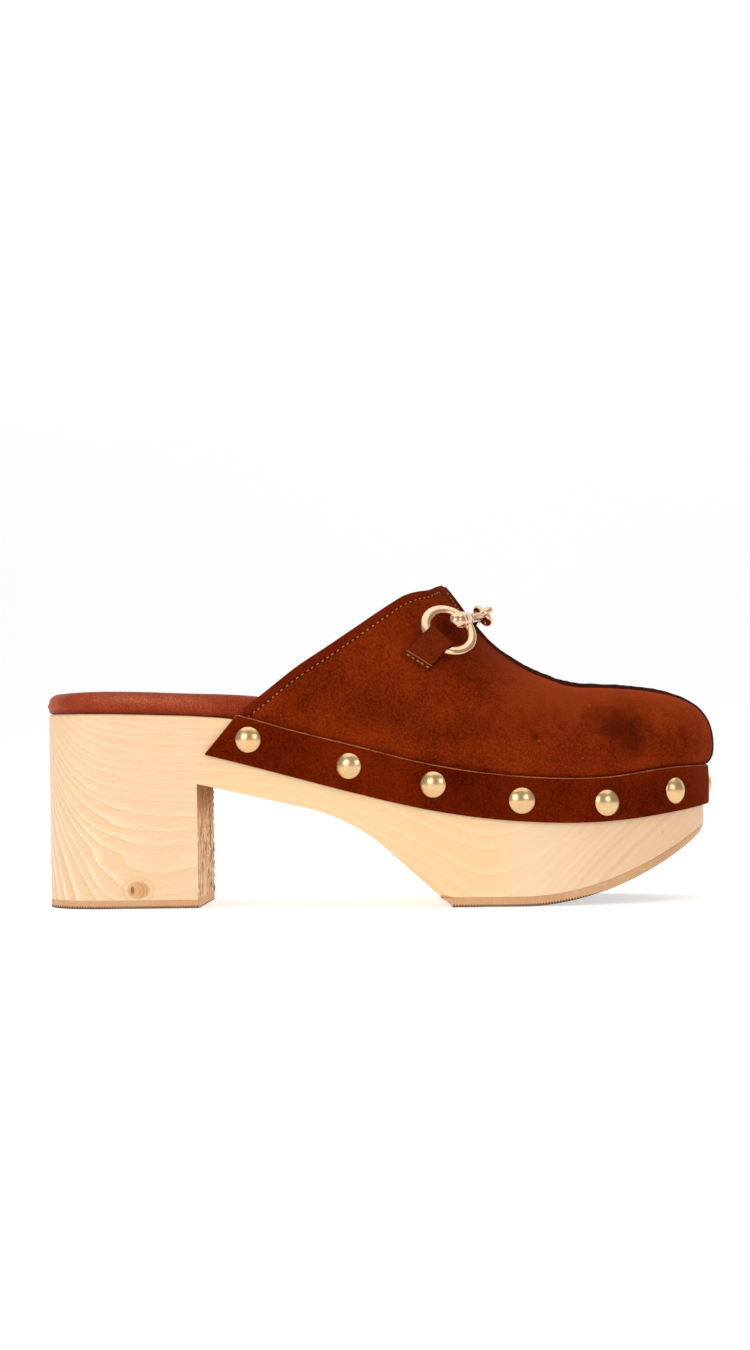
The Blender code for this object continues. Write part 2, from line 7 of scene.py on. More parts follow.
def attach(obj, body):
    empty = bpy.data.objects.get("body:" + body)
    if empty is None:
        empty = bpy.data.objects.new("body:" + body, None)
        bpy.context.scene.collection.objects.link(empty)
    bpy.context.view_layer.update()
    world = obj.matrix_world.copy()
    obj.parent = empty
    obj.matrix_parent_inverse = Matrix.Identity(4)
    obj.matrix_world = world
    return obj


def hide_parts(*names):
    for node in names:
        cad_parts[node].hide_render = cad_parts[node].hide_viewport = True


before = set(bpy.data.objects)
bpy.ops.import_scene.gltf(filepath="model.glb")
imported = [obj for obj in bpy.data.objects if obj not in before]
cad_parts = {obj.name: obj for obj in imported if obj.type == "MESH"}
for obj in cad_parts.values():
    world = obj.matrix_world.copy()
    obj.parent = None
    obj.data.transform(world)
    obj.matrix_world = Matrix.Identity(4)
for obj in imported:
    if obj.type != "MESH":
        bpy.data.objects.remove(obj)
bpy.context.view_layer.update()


# Wooden sole: one piece of pale pine with its block heel, sawn to the plan of the last and sanded
# smooth. The arch is sawn out and the heel's front face is left rough from the saw; the top edge is
# just broken. A rabbet along the top edge takes the margin of the upper.

MM = 0.001
BOX_MIDDLE = np.array([126.96, -0.80, 0.0])
LENGTH = 249.5
HEEL_ROUND = 28.0
HEEL_POWER = 2.3
TOE_TIP_Y = 6.0
TOE_FROM = 203.0
PLAN = {
    "lateral": {
        "sign": -1, "toe_power": 1.9,
        "half_widths": [(28, 31.0), (60, 31.0), (100, 33.2), (140, 41.2), (168, 45.5)],
    },
    "medial": {
        "sign": 1, "toe_power": 2.2,
        "half_widths": [(28, 31.0), (60, 30.2), (105, 28.8), (145, 35.0), (188, 43.5)],
    },
}
PLAN_MARKS = 4001
SEAT_TOP = [
    (0, 73.2), (22, 73.2), (45, 72.5), (60, 71.8), (74, 70.3), (93, 65.6), (115, 59.8),
    (146, 51.9), (179, 46.8), (208, 45.7), (238, 48.6), (252, 48.8),
]
BAND_FOOT = [
    (57, 58.8), (76, 53.9), (95, 48.8), (117, 43.0), (148, 35.8), (181, 31.4), (210, 30.7),
    (239, 34.0), (252, 36.4),
]
SHELF_UP = 3.0
RABBET_FROM = 76.7
RABBET_DEEP = 2.1
GAP = 0.3
LIFT_THICK = 2.9
TREAD_THICK = 3.3
BREAST_H = 59.2
BREAST_TOP = 46.5
ARCH_SLOPE = np.radians(13.0)
ARCH_RAMP = np.radians(42.0)
ARCH_TOE_H = 154.2
ARCH_RADIUS = 67.0
SPRING_H = 181.5
SPRING_RATE = 0.0072
SPRING_POWER = 1.93
BROKEN_EDGE = 1.0
LEAST_CHAMFER = 0.15
CHAMFER_STARTS = (BREAST_H, 70)
ARCH_CHAMFER = 1.5
ARCH_CHAMFER_GROWS = (108, 146)
ARCH_CHAMFER_ENDS = (156, 149)
SAW_ROUGHNESS = 0.27
SAW_LEAST = 0.12
SAW_GROWS = (-24, 29)
SAW_TOOTH = 0.8
WAVES = 14
HAIR = 0.01
MERGE = 2e-6


def curve(rows, h, level_ends=False):
    """Cubics through rows of (h, value), each slope taken from the two neighbouring rows."""
    at, value = np.array(rows, float).T
    slope = np.gradient(value, at)
    if level_ends:
        slope[[0, -1]] = 0.0
    h = np.clip(h, at[0], at[-1])
    i = np.clip(np.searchsorted(at, h, side="right") - 1, 0, len(at) - 2)
    span = at[i + 1] - at[i]
    t = (h - at[i]) / span
    before = (1 + 2 * t) * (1 - t) ** 2 * value[i] + t * (1 - t) ** 2 * span * slope[i]
    after = t * t * (3 - 2 * t) * value[i + 1] + t * t * (t - 1) * span * slope[i + 1]
    return before + after


def ease(x, low, high):
    """0 up to low, 1 from high on, and 3t^2 - 2t^3 between them."""
    t = np.clip((np.asarray(x, float) - low) / (high - low), 0, 1)
    return t * t * (3 - 2 * t)


def plan_line(side):
    """One edge of the wood from heel back to toe tip: h, y and the outward normal, closely spaced.

    The half width is the table's curve times a superellipse round the heel, and from the ball on a
    superellipse that closes on the toe's tip.
    """
    sign = PLAN[side]["sign"]
    rows = PLAN[side]["half_widths"]
    power = PLAN[side]["toe_power"]
    h = LENGTH * (1 - np.cos(np.linspace(0, np.pi, PLAN_MARKS))) / 2
    behind = np.clip((HEEL_ROUND - h) / HEEL_ROUND, 0, 1)
    ahead = np.clip((h - rows[-1][0]) / (LENGTH - rows[-1][0]), 0, 1)
    width = curve(rows, h, level_ends=True) * (1 - behind**HEEL_POWER) ** (1 / HEEL_POWER)
    tip = sign * TOE_TIP_Y
    y = sign * (tip + (width - tip) * (1 - ahead**power) ** (1 / power))
    step = np.gradient(np.stack([h, y]), axis=1)
    step /= np.linalg.norm(step, axis=0)
    normal = sign * np.stack([-step[1], step[0]])
    normal[:, 0] = (-1, 0)
    normal[:, -1] = (1, 0)
    return np.stack([h, y, *normal])


PLAN_LINES = {side: plan_line(side) for side in PLAN}


def edge(side, h, out):
    """Plan points (h, y) beside the wood's edge: the edge at h moved out along its normal."""
    at, y, normal_h, normal_y = PLAN_LINES[side]
    h = np.asarray(h, float)
    moved_h = h + out * np.interp(h, at, normal_h)
    return np.stack([moved_h, np.interp(h, at, y) + out * np.interp(h, at, normal_y)], -1)


def wall(side, levels):
    """Side of a piece, row by row: each level is (h, way out from the wood's edge, height)."""
    return np.stack([np.column_stack([edge(side, h, out), z]) for h, out, z in levels], 1)


def between(first, second, count):
    """Points on the straight lines from one row of points to another, the ends left out."""
    share = np.linspace(0, 1, count + 2)[1:-1, None]
    return first[:, None] + share * (second - first)[:, None]


def quarter(count):
    """Even angles from level to upright."""
    return np.linspace(0, np.pi / 2, count)


def heel_marks(count):
    """h round the back of the heel, by the cosine of even angles."""
    return HEEL_ROUND * (1 - np.cos(quarter(count)))


def toe_marks(count):
    """h round the toe, by the sine of even angles."""
    return TOE_FROM + (LENGTH - TOE_FROM) * np.sin(quarter(count))


def spring(h, up):
    """Height of a line straight over the tread's underside: level, then climbing by a power law."""
    return SPRING_RATE * np.maximum(h - SPRING_H, 0) ** SPRING_POWER + up


def arch(h):
    """Height of the sawn arch: a gentle slope and a steep ramp, with an arc that touches both."""
    gentle = BREAST_TOP - (h - BREAST_H) * np.tan(ARCH_SLOPE)
    steep = (ARCH_TOE_H - h) * np.tan(ARCH_RAMP)
    meet_h = (BREAST_TOP + BREAST_H * np.tan(ARCH_SLOPE) - ARCH_TOE_H * np.tan(ARCH_RAMP)) / (
        np.tan(ARCH_SLOPE) - np.tan(ARCH_RAMP)
    )
    meet_z = (ARCH_TOE_H - meet_h) * np.tan(ARCH_RAMP)
    tangent = ARCH_RADIUS * np.tan((ARCH_RAMP - ARCH_SLOPE) / 2)
    centre_h = meet_h - tangent * np.cos(ARCH_SLOPE) - ARCH_RADIUS * np.sin(ARCH_SLOPE)
    centre_z = meet_z + tangent * np.sin(ARCH_SLOPE) - ARCH_RADIUS * np.cos(ARCH_SLOPE)
    from_centre = h - centre_h
    round_z = centre_z + np.sqrt(np.maximum(ARCH_RADIUS**2 - from_centre**2, 0))
    before = from_centre < ARCH_RADIUS * np.sin(ARCH_SLOPE)
    after = from_centre > ARCH_RADIUS * np.sin(ARCH_RAMP)
    return np.where(before, gentle, np.where(after, steep, round_z))


def ripple(u, v, shortest, seed):
    """Uneven waves over (u, v), about -1 to 1: sines of many directions and lengths."""
    chance = np.random.default_rng(seed)
    total = np.zeros(np.broadcast(u, v).shape)
    for length in shortest * 2.0 ** np.linspace(0, 3, WAVES):
        turn, phase = chance.uniform(0, 2 * np.pi, 2)
        total += np.sin(2 * np.pi * (u * np.cos(turn) + v * np.sin(turn)) / length + phase)
    return total / WAVES**0.5


def quads(number):
    """Corner numbers of the quads between neighbours in a grid of point numbers."""
    corners = [number[:-1, :-1], number[1:, :-1], number[1:, 1:], number[:-1, 1:]]
    return np.stack(corners, -1).reshape(-1, 4)


def cells(rows, columns, wrap_rows=False, wrap_columns=False, first=0):
    """Quads of a whole grid; wrapping joins the last row or column to the first."""
    number = first + np.arange(rows * columns).reshape(rows, columns)
    if wrap_rows:
        number = np.vstack([number, number[:1]])
    if wrap_columns:
        number = np.hstack([number, number[:, :1]])
    return quads(number)


def skin(name, points, blocks, finishes, marks=None, *, sharp_deg):
    """Piece from points in millimetres and blocks of quads, one block for each finish.

    Doubled points are merged, faces that close up are dropped and the rest turned outward. Marks
    are numbers that the mesh holds at its points for the finishes to read.
    """
    mesh = bpy.data.meshes.new(name)
    place = (np.asarray(points, float).reshape(-1, 3) - BOX_MIDDLE) * MM
    mesh.from_pydata(place.tolist(), [], np.concatenate(blocks).tolist())
    finish_of = np.repeat(np.arange(len(blocks)), [len(block) for block in blocks])
    mesh.polygons.foreach_set("material_index", finish_of)
    for mark, value in (marks or {}).items():
        layer = mesh.attributes.new(mark, "FLOAT", "POINT")
        layer.data.foreach_set("value", np.ravel(value).astype(np.float32))
    shape = bmesh.new()
    shape.from_mesh(mesh)
    bmesh.ops.remove_doubles(shape, verts=shape.verts, dist=MERGE)
    bmesh.ops.dissolve_degenerate(shape, edges=shape.edges, dist=MERGE)
    bmesh.ops.recalc_face_normals(shape, faces=shape.faces)
    shape.to_mesh(mesh)
    shape.free()
    mesh.shade_smooth()
    mesh.set_sharp_from_angle(angle=np.radians(sharp_deg))
    for finish in finishes:
        mesh.materials.append(finish)
    piece = bpy.data.objects.new(name, mesh)
    bpy.context.scene.collection.objects.link(piece)
    return piece


class Tap:
    """A socket to draw on: arithmetic with taps and numbers adds Math nodes, node() any other."""

    def __init__(self, socket):
        self.socket = socket

    def node(self, kind, settings=None, sockets=None, output=0):
        """New node of a kind in this tree: settings first, then a value or link for each socket."""
        tree = self.socket.id_data
        made = tree.nodes.new(kind)
        for key, value in (settings or {}).items():
            if key == "stops":
                while len(made.color_ramp.elements) < len(value):
                    made.color_ramp.elements.new(1.0)
                for element, (position, grey) in zip(made.color_ramp.elements, value):
                    element.position = position
                    element.color = (grey, grey, grey, 1.0)
            else:
                setattr(made, key, value)
        for key, value in (sockets or {}).items():
            if isinstance(value, Tap):
                tree.links.new(value.socket, made.inputs[key])
            else:
                made.inputs[key].default_value = value
        return Tap(made.outputs[output])

    def math(self, operation, first, second=0.0):
        """Math node's operation on one or two numbers."""
        return self.node("ShaderNodeMath", {"operation": operation}, {0: first, 1: second})

    def __add__(self, other):
        return self.math("ADD", self, other)

    def __sub__(self, other):
        return self.math("SUBTRACT", self, other)

    def __rsub__(self, other):
        return self.math("SUBTRACT", other, self)

    def __mul__(self, other):
        return self.math("MULTIPLY", self, other)

    def __truediv__(self, other):
        return self.math("DIVIDE", self, other)

    def __pow__(self, other):
        return self.math("POWER", self, other)

    __radd__ = __add__
    __rmul__ = __mul__

    def sine(self):
        """Sine of this value in radians."""
        return self.math("SINE", self)

    def hypot(self, other):
        """Root of the sum of two squares."""
        return (self ** 2.0 + other ** 2.0) ** 0.5

    def smooth(self, low, high):
        """0 at low, 1 at high and eased between them; low may be the larger."""
        sockets = {0: self, 1: low, 2: high, 3: 0.0, 4: 1.0}
        return self.node("ShaderNodeMapRange", {"interpolation_type": "SMOOTHSTEP"}, sockets)

    def mix(self, first, second):
        """Colour between two colours, by this value."""
        return self.node("ShaderNodeMix", {"data_type": "RGBA"}, {0: self, 6: first, 7: second}, 2)

    def noise(self, scale, detail, roughness=0.5):
        """Cloudy values around 0.5 over this vector, scale waves to the metre."""
        sockets = {"Vector": self, "Scale": scale, "Detail": detail, "Roughness": roughness}
        return self.node("ShaderNodeTexNoise", None, sockets)

    def stretched(self, x, y, z):
        """This vector with each axis multiplied."""
        return self.node("ShaderNodeVectorMath", {"operation": "MULTIPLY"}, {0: self, 1: (x, y, z)})

    def axes(self):
        """The three numbers of this vector."""
        return [self.node("ShaderNodeSeparateXYZ", None, {0: self}, axis) for axis in range(3)]

    def mark(self, name):
        """The number that a piece's mesh holds under this name, at each of its points."""
        return self.node("ShaderNodeAttribute", {"attribute_name": name}, None, 2)

    def bump(self, strength, distance):
        """Normal tilted as if this value were a height."""
        sockets = {"Strength": strength, "Distance": distance, "Height": self}
        return self.node("ShaderNodeBump", None, sockets)

    def feeds(self, shader, socket):
        """Links this value to a shader's socket."""
        self.socket.id_data.links.new(self.socket, shader.inputs[socket])


def layered(colour, *layers):
    """Colour with others laid over it one by one, each layer as (share, colour)."""
    for share, tint in layers:
        colour = share.mix(colour, tint)
    return colour


def rgb(red, green, blue):
    """Colour as a screen shows it, 0 to 255, in the linear light that a shader takes."""
    screen = np.array([red, green, blue]) / 255
    linear = np.where(screen < 0.04045, screen / 12.92, ((screen + 0.055) / 1.055) ** 2.4)
    return (*linear.tolist(), 1.0)


def new_finish(name, **sockets):
    """New material with these constants: gives it, its shader and the place on the part."""
    finish = bpy.data.materials.new(name)
    finish.use_nodes = True
    shader = finish.node_tree.nodes["Principled BSDF"]
    for key, value in sockets.items():
        shader.inputs[key.replace("_", " ")].default_value = value
    place = finish.node_tree.nodes.new("ShaderNodeTexCoord")
    return finish, shader, Tap(place.outputs["Object"])


PITH_Y = 78.0
PITH_Z = -20.0
RING_SPACING = 2.05
RING_TONES = [(0.0, 0.0), (0.20, 0.08), (0.42, 0.52), (0.82, 0.64), (0.93, 0.92), (1.0, 0.1)]
EARLY_RADIUS = 109.5
EARLY_SPACING = 4.0
KNOT_H = 36.7
KNOT_Z = 7.0
KNOT_RADIUS = 3.8
KNOT_STRETCH = 0.78


def pine():
    """Pine with growth rings: cylinders round a pith that runs lengthwise outside the sole.

    They bend round a knot. Each ring starts as a narrow pale line, turns to the wood's own tone and
    ends a little darker.
    """
    finish, shader, place = new_finish("pine")
    x, y, z = place.axes()
    along = x / MM + BOX_MIDDLE[0]
    height = z / MM
    slow = place.stretched(0.45, 1.2, 1.2).noise(24.0, 2.0) - 0.5
    from_pith = (y / MM + (BOX_MIDDLE[1] - PITH_Y)).hypot(height - PITH_Z)
    knot_off = ((along - KNOT_H) * KNOT_STRETCH).hypot(height - KNOT_Z)
    outside = y.smooth(-0.012, -0.024)

    swirl = knot_off.smooth(27.0, 2.0) * outside
    uneven = (from_pith * 0.9).sine() * 0.35 + (from_pith * 2.3 + 1.0).sine() * 0.2
    bent = from_pith + slow * 1.3 + swirl * 2.0 - along.smooth(50.0, 6.0) * 3.0 + uneven
    early = bent.math("MINIMUM", bent, EARLY_RADIUS)
    early_rings = (early - EARLY_RADIUS) * (1 / EARLY_SPACING + along.smooth(90.0, 160.0) * 0.35)
    rings = (bent - early) / RING_SPACING + early_rings
    phase = rings.math("FRACT", rings)
    tone = phase.node("ShaderNodeValToRGB", {"stops": RING_TONES}, {0: phase})

    streak = place.stretched(0.07, 1.0, 1.0).noise(1500.0, 3.0, 0.6)
    heel_back = along.smooth(42.0, 6.0) * height.smooth(80.0, 26.0)
    patchy = place.stretched(0.35, 1.0, 1.0).noise(55.0, 1.0).smooth(0.25, 0.8)
    fore = along.smooth(58.0, 85.0) * along.smooth(205.0, 175.0)
    strength = 0.11 + patchy * 0.15 + heel_back * 0.76 + fore * 0.25
    toe = along.smooth(168.0, 205.0)
    slant = along - height * 1.05 + slow * 9.0
    sockets = {"W": slant, "Scale": 0.36, "Detail": 3.0}
    stripe = place.node("ShaderNodeTexNoise", {"noise_dimensions": "1D"}, sockets)
    tone = (tone - 0.55) * strength * (1.0 - toe * 0.7) + (stripe - 0.5) * toe * 1.0 + 0.5
    tone = tone + (streak - 0.5) * 0.5

    cloud = place.stretched(0.6, 1.0, 1.0).noise(16.0, 2.0)
    # painted light: the waist is lightened against the shade under the band's lower edge
    painted_waist_light = along.smooth(55.0, 78.0) * along.smooth(195.0, 165.0)
    ball = along.smooth(163.0, 184.0) * along.smooth(222.0, 190.0)
    heart = (knot_off + slow * 1.2).smooth(KNOT_RADIUS, KNOT_RADIUS - 1.3) * outside
    whorl_off = (along - (KNOT_H - 0.9)).hypot(height - (KNOT_Z - 0.3))
    whorl = (whorl_off * 5.0 + slow * 9.0).sine() * 0.5 + 0.5
    whorl = whorl * along.smooth(KNOT_H - 1.5, KNOT_H + 1.5)
    knot_colour = (whorl * 0.65).mix(rgb(218, 160, 104), rgb(178, 116, 62))
    halo = knot_off.smooth(KNOT_RADIUS + 4.0, KNOT_RADIUS) * outside - heart
    halo_lines = (knot_off * 3.1 + slow * 5.0).sine() * 0.5 + 0.5
    crack_off = (along - (KNOT_H - 2.2)).hypot((height - KNOT_Z) * 0.5)
    crack = (crack_off + slow * 1.6).smooth(0.85, 0.35) * outside
    speck = place.noise(420.0, 1.0).smooth(0.765, 0.785)
    layered(
        tone.mix(rgb(253, 225, 188), rgb(230, 178, 122)),
        (cloud.smooth(0.40, 0.85) * 0.30, rgb(230, 178, 126)),
        (painted_waist_light * 0.42, rgb(255, 214, 150)),
        (ball * 0.35, rgb(255, 228, 190)),
        # painted shade: darker towards the toe's end, where the light falls off
        (along.smooth(184.0, 218.0) * 0.35, rgb(236, 190, 150)),
        (heart * 0.85, knot_colour),
        (halo * halo_lines * 0.28, rgb(214, 152, 96)),
        (crack * 0.8, rgb(110, 66, 34)),
        (speck * 0.22, rgb(170, 120, 80)),
    ).feeds(shader, "Base Color")
    (0.47 + (streak - 0.5) * 0.22 + tone * 0.05).feeds(shader, "Roughness")
    (streak * 0.7 - tone * 0.2).bump(0.25, 0.0002).feeds(shader, "Normal")
    return finish


def sawn_pine():
    """End grain torn by the saw: brown, blotched, with upright streaks and pale fibres."""
    finish, shader, place = new_finish("sawn pine", Roughness=0.95, Specular_IOR_Level=0.2)
    streak = place.stretched(1.0, 1.0, 0.10).noise(900.0, 4.0, 0.65)
    blotch = place.stretched(1.0, 1.0, 0.45).noise(150.0, 4.0, 0.6)
    chip = place.stretched(1.0, 1.0, 0.40).noise(700.0, 3.0, 0.7)
    _, _, z = place.axes()
    torn = (blotch * 0.7 + streak * 0.5).smooth(0.44, 0.74)
    layered(
        torn.mix(rgb(140, 94, 58), rgb(248, 208, 166)),
        (chip.smooth(0.52, 0.60) * 0.9, rgb(255, 236, 212)),
        (chip.smooth(0.46, 0.36) * 0.45, rgb(124, 78, 44)),
        ((z + blotch * 0.012).smooth(0.034, 0.050) * 0.8, rgb(146, 92, 50)),
    ).feeds(shader, "Base Color")
    (streak + blotch * 0.8 + chip * 0.6).bump(0.8, 0.0006).feeds(shader, "Normal")
    return finish


def wood_rings():
    """Section rings of the wood: along the heel, up the breast at one h, and on to the toe.

    Each ring goes up the lateral side, over the seat, down the medial side and back under the wood.
    Rows below the underside are squeezed onto it, so the breast's columns meet the heel's own rows.
    """
    foot = LIFT_THICK + GAP
    climb = np.linspace(foot, BREAST_TOP, 129)
    heel_h = np.append(heel_marks(44), np.linspace(HEEL_ROUND, BREAST_H, 24)[1:])
    waist_h = np.linspace(BREAST_H, RABBET_FROM, 16)[1:]
    rabbet_h = np.append(np.linspace(RABBET_FROM, TOE_FROM, 120), toe_marks(64)[1:])
    fore_h = np.append(waist_h, rabbet_h)
    h = np.concatenate([heel_h, np.full(len(climb) - 1, BREAST_H), fore_h])
    station = np.arange(len(h))
    behind = station < len(h) - len(fore_h)
    breast = behind & (station >= len(heel_h) - 1)
    rabbet = np.where(station >= len(h) - len(rabbet_h), RABBET_DEEP, 0.0)
    fore_foot = np.maximum(arch(fore_h), spring(fore_h, TREAD_THICK + GAP))
    under = np.concatenate([np.full(len(heel_h), foot), climb[1:], fore_foot])
    arch_chamfer = ARCH_CHAMFER * ease(fore_h, *ARCH_CHAMFER_GROWS)
    chamfer = LEAST_CHAMFER + arch_chamfer * ease(fore_h, *ARCH_CHAMFER_ENDS)
    chamfer = np.append(np.zeros(behind.sum()), chamfer * ease(fore_h, *CHAMFER_STARTS))
    seat = curve(SEAT_TOP, h)
    shelf = curve(BAND_FOOT, h) + SHELF_UP
    start = np.where(behind, BREAST_TOP, under + chamfer)
    levels = [(-chamfer, under)]
    levels += [(0.0, np.where(behind, np.maximum(z, under), under + chamfer)) for z in climb[1:]]
    levels += [(0.0, start + share * (shelf - start)) for share in np.linspace(0, 1, 16)[1:]]
    levels += [(-rabbet, shelf + share * (seat - BROKEN_EDGE - shelf)) for share in (0.0, 0.5, 1.0)]
    levels += [
        (-rabbet - BROKEN_EDGE * (1 - np.cos(angle)), seat - BROKEN_EDGE * (1 - np.sin(angle)))
        for angle in quarter(5)[1:]
    ]
    lateral, medial = [wall(side, [(h, *level) for level in levels]) for side in PLAN]
    over = between(lateral[:, -1], medial[:, -1], 9)
    below = between(medial[:, 0], lateral[:, 0], 44)
    ring = np.concatenate([lateral, over, medial[:, ::-1], below], axis=1)
    y, z = ring[:, :, 1], ring[:, :, 2]
    torn = breast[:, None] & (z < BREAST_TOP - HAIR) & (z > foot + HAIR)
    depth = SAW_ROUGHNESS * (SAW_LEAST + (1 - SAW_LEAST) * ease(y, *SAW_GROWS))
    ring[:, :, 0] += torn * depth * ripple(y, z * 0.7, SAW_TOOTH, 4)
    return ring, breast


ring, breast = wood_rings()
faces = cells(*ring.shape[:2], wrap_columns=True)
sawn = np.repeat(breast[:-1] & breast[1:], ring.shape[1])
finishes = [pine(), sawn_pine()]
wood = skin("wooden_sole_pine", ring, [faces[~sawn], faces[sawn]], finishes, sharp_deg=38)
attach(wood, "root")
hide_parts("wooden_sole")


# Rubber heel lift and forefoot tread: tan sheet rubber glued under the wood and trimmed flush with
# it. Fine ribs run across the underside and show as a toothed lower edge.

RIB_PITCH = 1.06
RIB_DEPTH = 0.7
RIB_LENGTH = 5.0
RIB_SHARE = 0.3
MOUTH_HALF, FLOOR_HALF = 0.31, 0.23  # half widths of a groove, in pitches
RIB_CORNERS = 0.5 + np.array([-MOUTH_HALF, -FLOOR_HALF, FLOOR_HALF, MOUTH_HALF])
RIBS_FADE, RIBS_TO = 196, 214
RIB_DIRT_AND_SHADE = np.array([0.78, 1.0, 0.9, 0.2, 0.0])  # from the underside up
TOE_DIRT_AND_SHADE = 0.7
RUBBER_EDGE = 0.22
GLUE_LINE = 0.03
TOE_TURN = 30
TREAD_BACK = 9


def tan_rubber():
    """Matt rubber with a fine skin, cut marks along the trimmed edge, and dirt with painted shade
    in the ribs and under it.
    """
    finish, shader, place = new_finish("tan rubber", Specular_IOR_Level=0.3)
    fine = place.noise(1800.0, 3.0, 0.6)
    cut = place.stretched(1.0, 1.0, 0.12).noise(900.0, 3.0)
    patch = place.noise(70.0, 3.0)
    tone = (patch - 0.5) * 0.9 + (fine - 0.5) * 0.6 + (cut - 0.5) * 0.5 + 0.5
    # dirt and painted shade: darker at the ribs' foot and the underside, standing also for the
    # shade in the grooves
    dirt_and_shade = place.mark("rib_foot").smooth(0.45, 0.9) * 0.95
    colour = tone.mix(rgb(196, 144, 100), rgb(228, 180, 136))
    dirt_and_shade.mix(colour, rgb(58, 34, 22)).feeds(shader, "Base Color")
    (0.72 + (fine - 0.5) * 0.3).feeds(shader, "Roughness")
    (fine * 0.5 + cut).bump(0.35, 0.0003).feeds(shader, "Normal")
    return finish


def ribbed(name, h, underside, upper_h, upper_side):
    """Closed sheet of rubber between two lines of heights, grooved along its lower edges.

    Each groove is deepest at the edge and ends a few millimetres inside, sooner where the sheet is
    narrow. The grooves die out up the toe, where the sheet is trimmed square to its slope, so that
    its lower edge lies back by thickness times slope / (1 + slope^2).
    """
    phase = np.abs((h / RIB_PITCH) % 1.0 - 0.5)
    toothed = ease(h, RIBS_TO, RIBS_FADE)
    floor = underside + RIB_DEPTH * toothed * ease(phase, MOUTH_HALF, FLOOR_HALF)
    slope = np.gradient(underside, h)
    lean = (upper_side - underside) * slope / (1 + slope**2)
    width = edge("medial", h, 0.0)[:, 1] - edge("lateral", h, 0.0)[:, 1]
    levels = [
        # way out from the wood's edge, share of the lean, h, height
        (-RUBBER_EDGE - np.minimum(RIB_LENGTH, RIB_SHARE * width), 1.0, h, underside),
        (-RUBBER_EDGE, 1.0, h, floor),
        (0.0, 0.95, h, floor + RUBBER_EDGE),
        (0.0, 0.8, h, floor + 3 * RUBBER_EDGE),
        (0.0, 0.0, upper_h, upper_side),
    ]
    sides = []
    for side in PLAN:
        back = lean * np.maximum(edge(side, h, 1.0)[:, 0] - edge(side, h, 0.0)[:, 0], 0)
        sides.append(wall(side, [(at, out - share * back, z) for out, share, at, z in levels]))
    ring = np.concatenate([sides[0], sides[1][:, ::-1]], axis=1)
    rows, columns = ring.shape[:2]
    low = np.arange(len(levels) - 1)
    ends = np.column_stack([low, low + 1, columns - 2 - low, columns - 1 - low])
    rib_foot = np.tile(np.append(RIB_DIRT_AND_SHADE, RIB_DIRT_AND_SHADE[::-1]), (rows, 1))
    rib_foot[:, [1, 2, 7, 8]] *= TOE_DIRT_AND_SHADE + (1 - TOE_DIRT_AND_SHADE) * toothed[:, None]
    around = cells(rows, columns, wrap_columns=True)
    faces = np.concatenate([around, ends, ends + (rows - 1) * columns])
    return skin(name, ring, [faces], [rubber], {"rib_foot": rib_foot}, sharp_deg=30)


def rib_stations(start, stop):
    """h at every rib's corners from start to stop, with closer marks where the outline turns."""
    corners = np.arange(start // RIB_PITCH, stop // RIB_PITCH + 1)[:, None] + RIB_CORNERS
    toe = LENGTH - TOE_TURN * (1 - np.cos(quarter(40)))
    marks = np.concatenate([corners.ravel() * RIB_PITCH, heel_marks(40), toe, [start, stop]])
    return np.unique(np.round(marks[(marks >= start) & (marks <= stop)], 3))


rubber = tan_rubber()
h = rib_stations(0.0, BREAST_H)
lift_top = np.full(len(h), LIFT_THICK + GAP - GLUE_LINE)
lift = ribbed("heel_lift_rubber", h, np.zeros(len(h)), h, lift_top)
h = rib_stations(ARCH_TOE_H, LENGTH)
ramp_back = (TREAD_THICK + GAP) / np.tan(ARCH_RAMP) * ease(h, ARCH_TOE_H + TREAD_BACK, ARCH_TOE_H)
tread_h = h - ramp_back
tread_top = spring(tread_h, TREAD_THICK + GAP - GLUE_LINE)
tread = ribbed("forefoot_tread_rubber", h, spring(h, 0.0), tread_h, tread_top)
for piece, node in ((lift, "heel_lift"), (tread, "forefoot_tread")):
    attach(piece, "root")
    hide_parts(node)


# Insole: foam covered with red-brown grained leather that is wrapped round its edge and glued to
# the wood. At the heel it swells a little past the wood; inside the upper it is narrower and
# thinner.

PAD_THICK = [
    (0, 7.4), (14, 7.9), (40, 8.2), (58, 8.1), (72, 8.8), (86, 9.8), (102, 8.0), (126, 5.2),
    (150, 4.0), (252, 4.0),
]
PAD_FULL = 7.3
PAD_INSIDE = 2.7
PAD_NARROWS = (63, 71)
PAD_SWELL = 0.45
PAD_LOWER_ROUND = 1.7
PAD_UPPER_ROUND = (4.4, 3.4)
PAD_DISH = 0.9
PAD_DISH_POWER = 1.2
PAD_DISH_FROM = 20
PAD_SOFT = 0.09
PAD_WAVE = 9.0
PAD_COLUMNS = 32


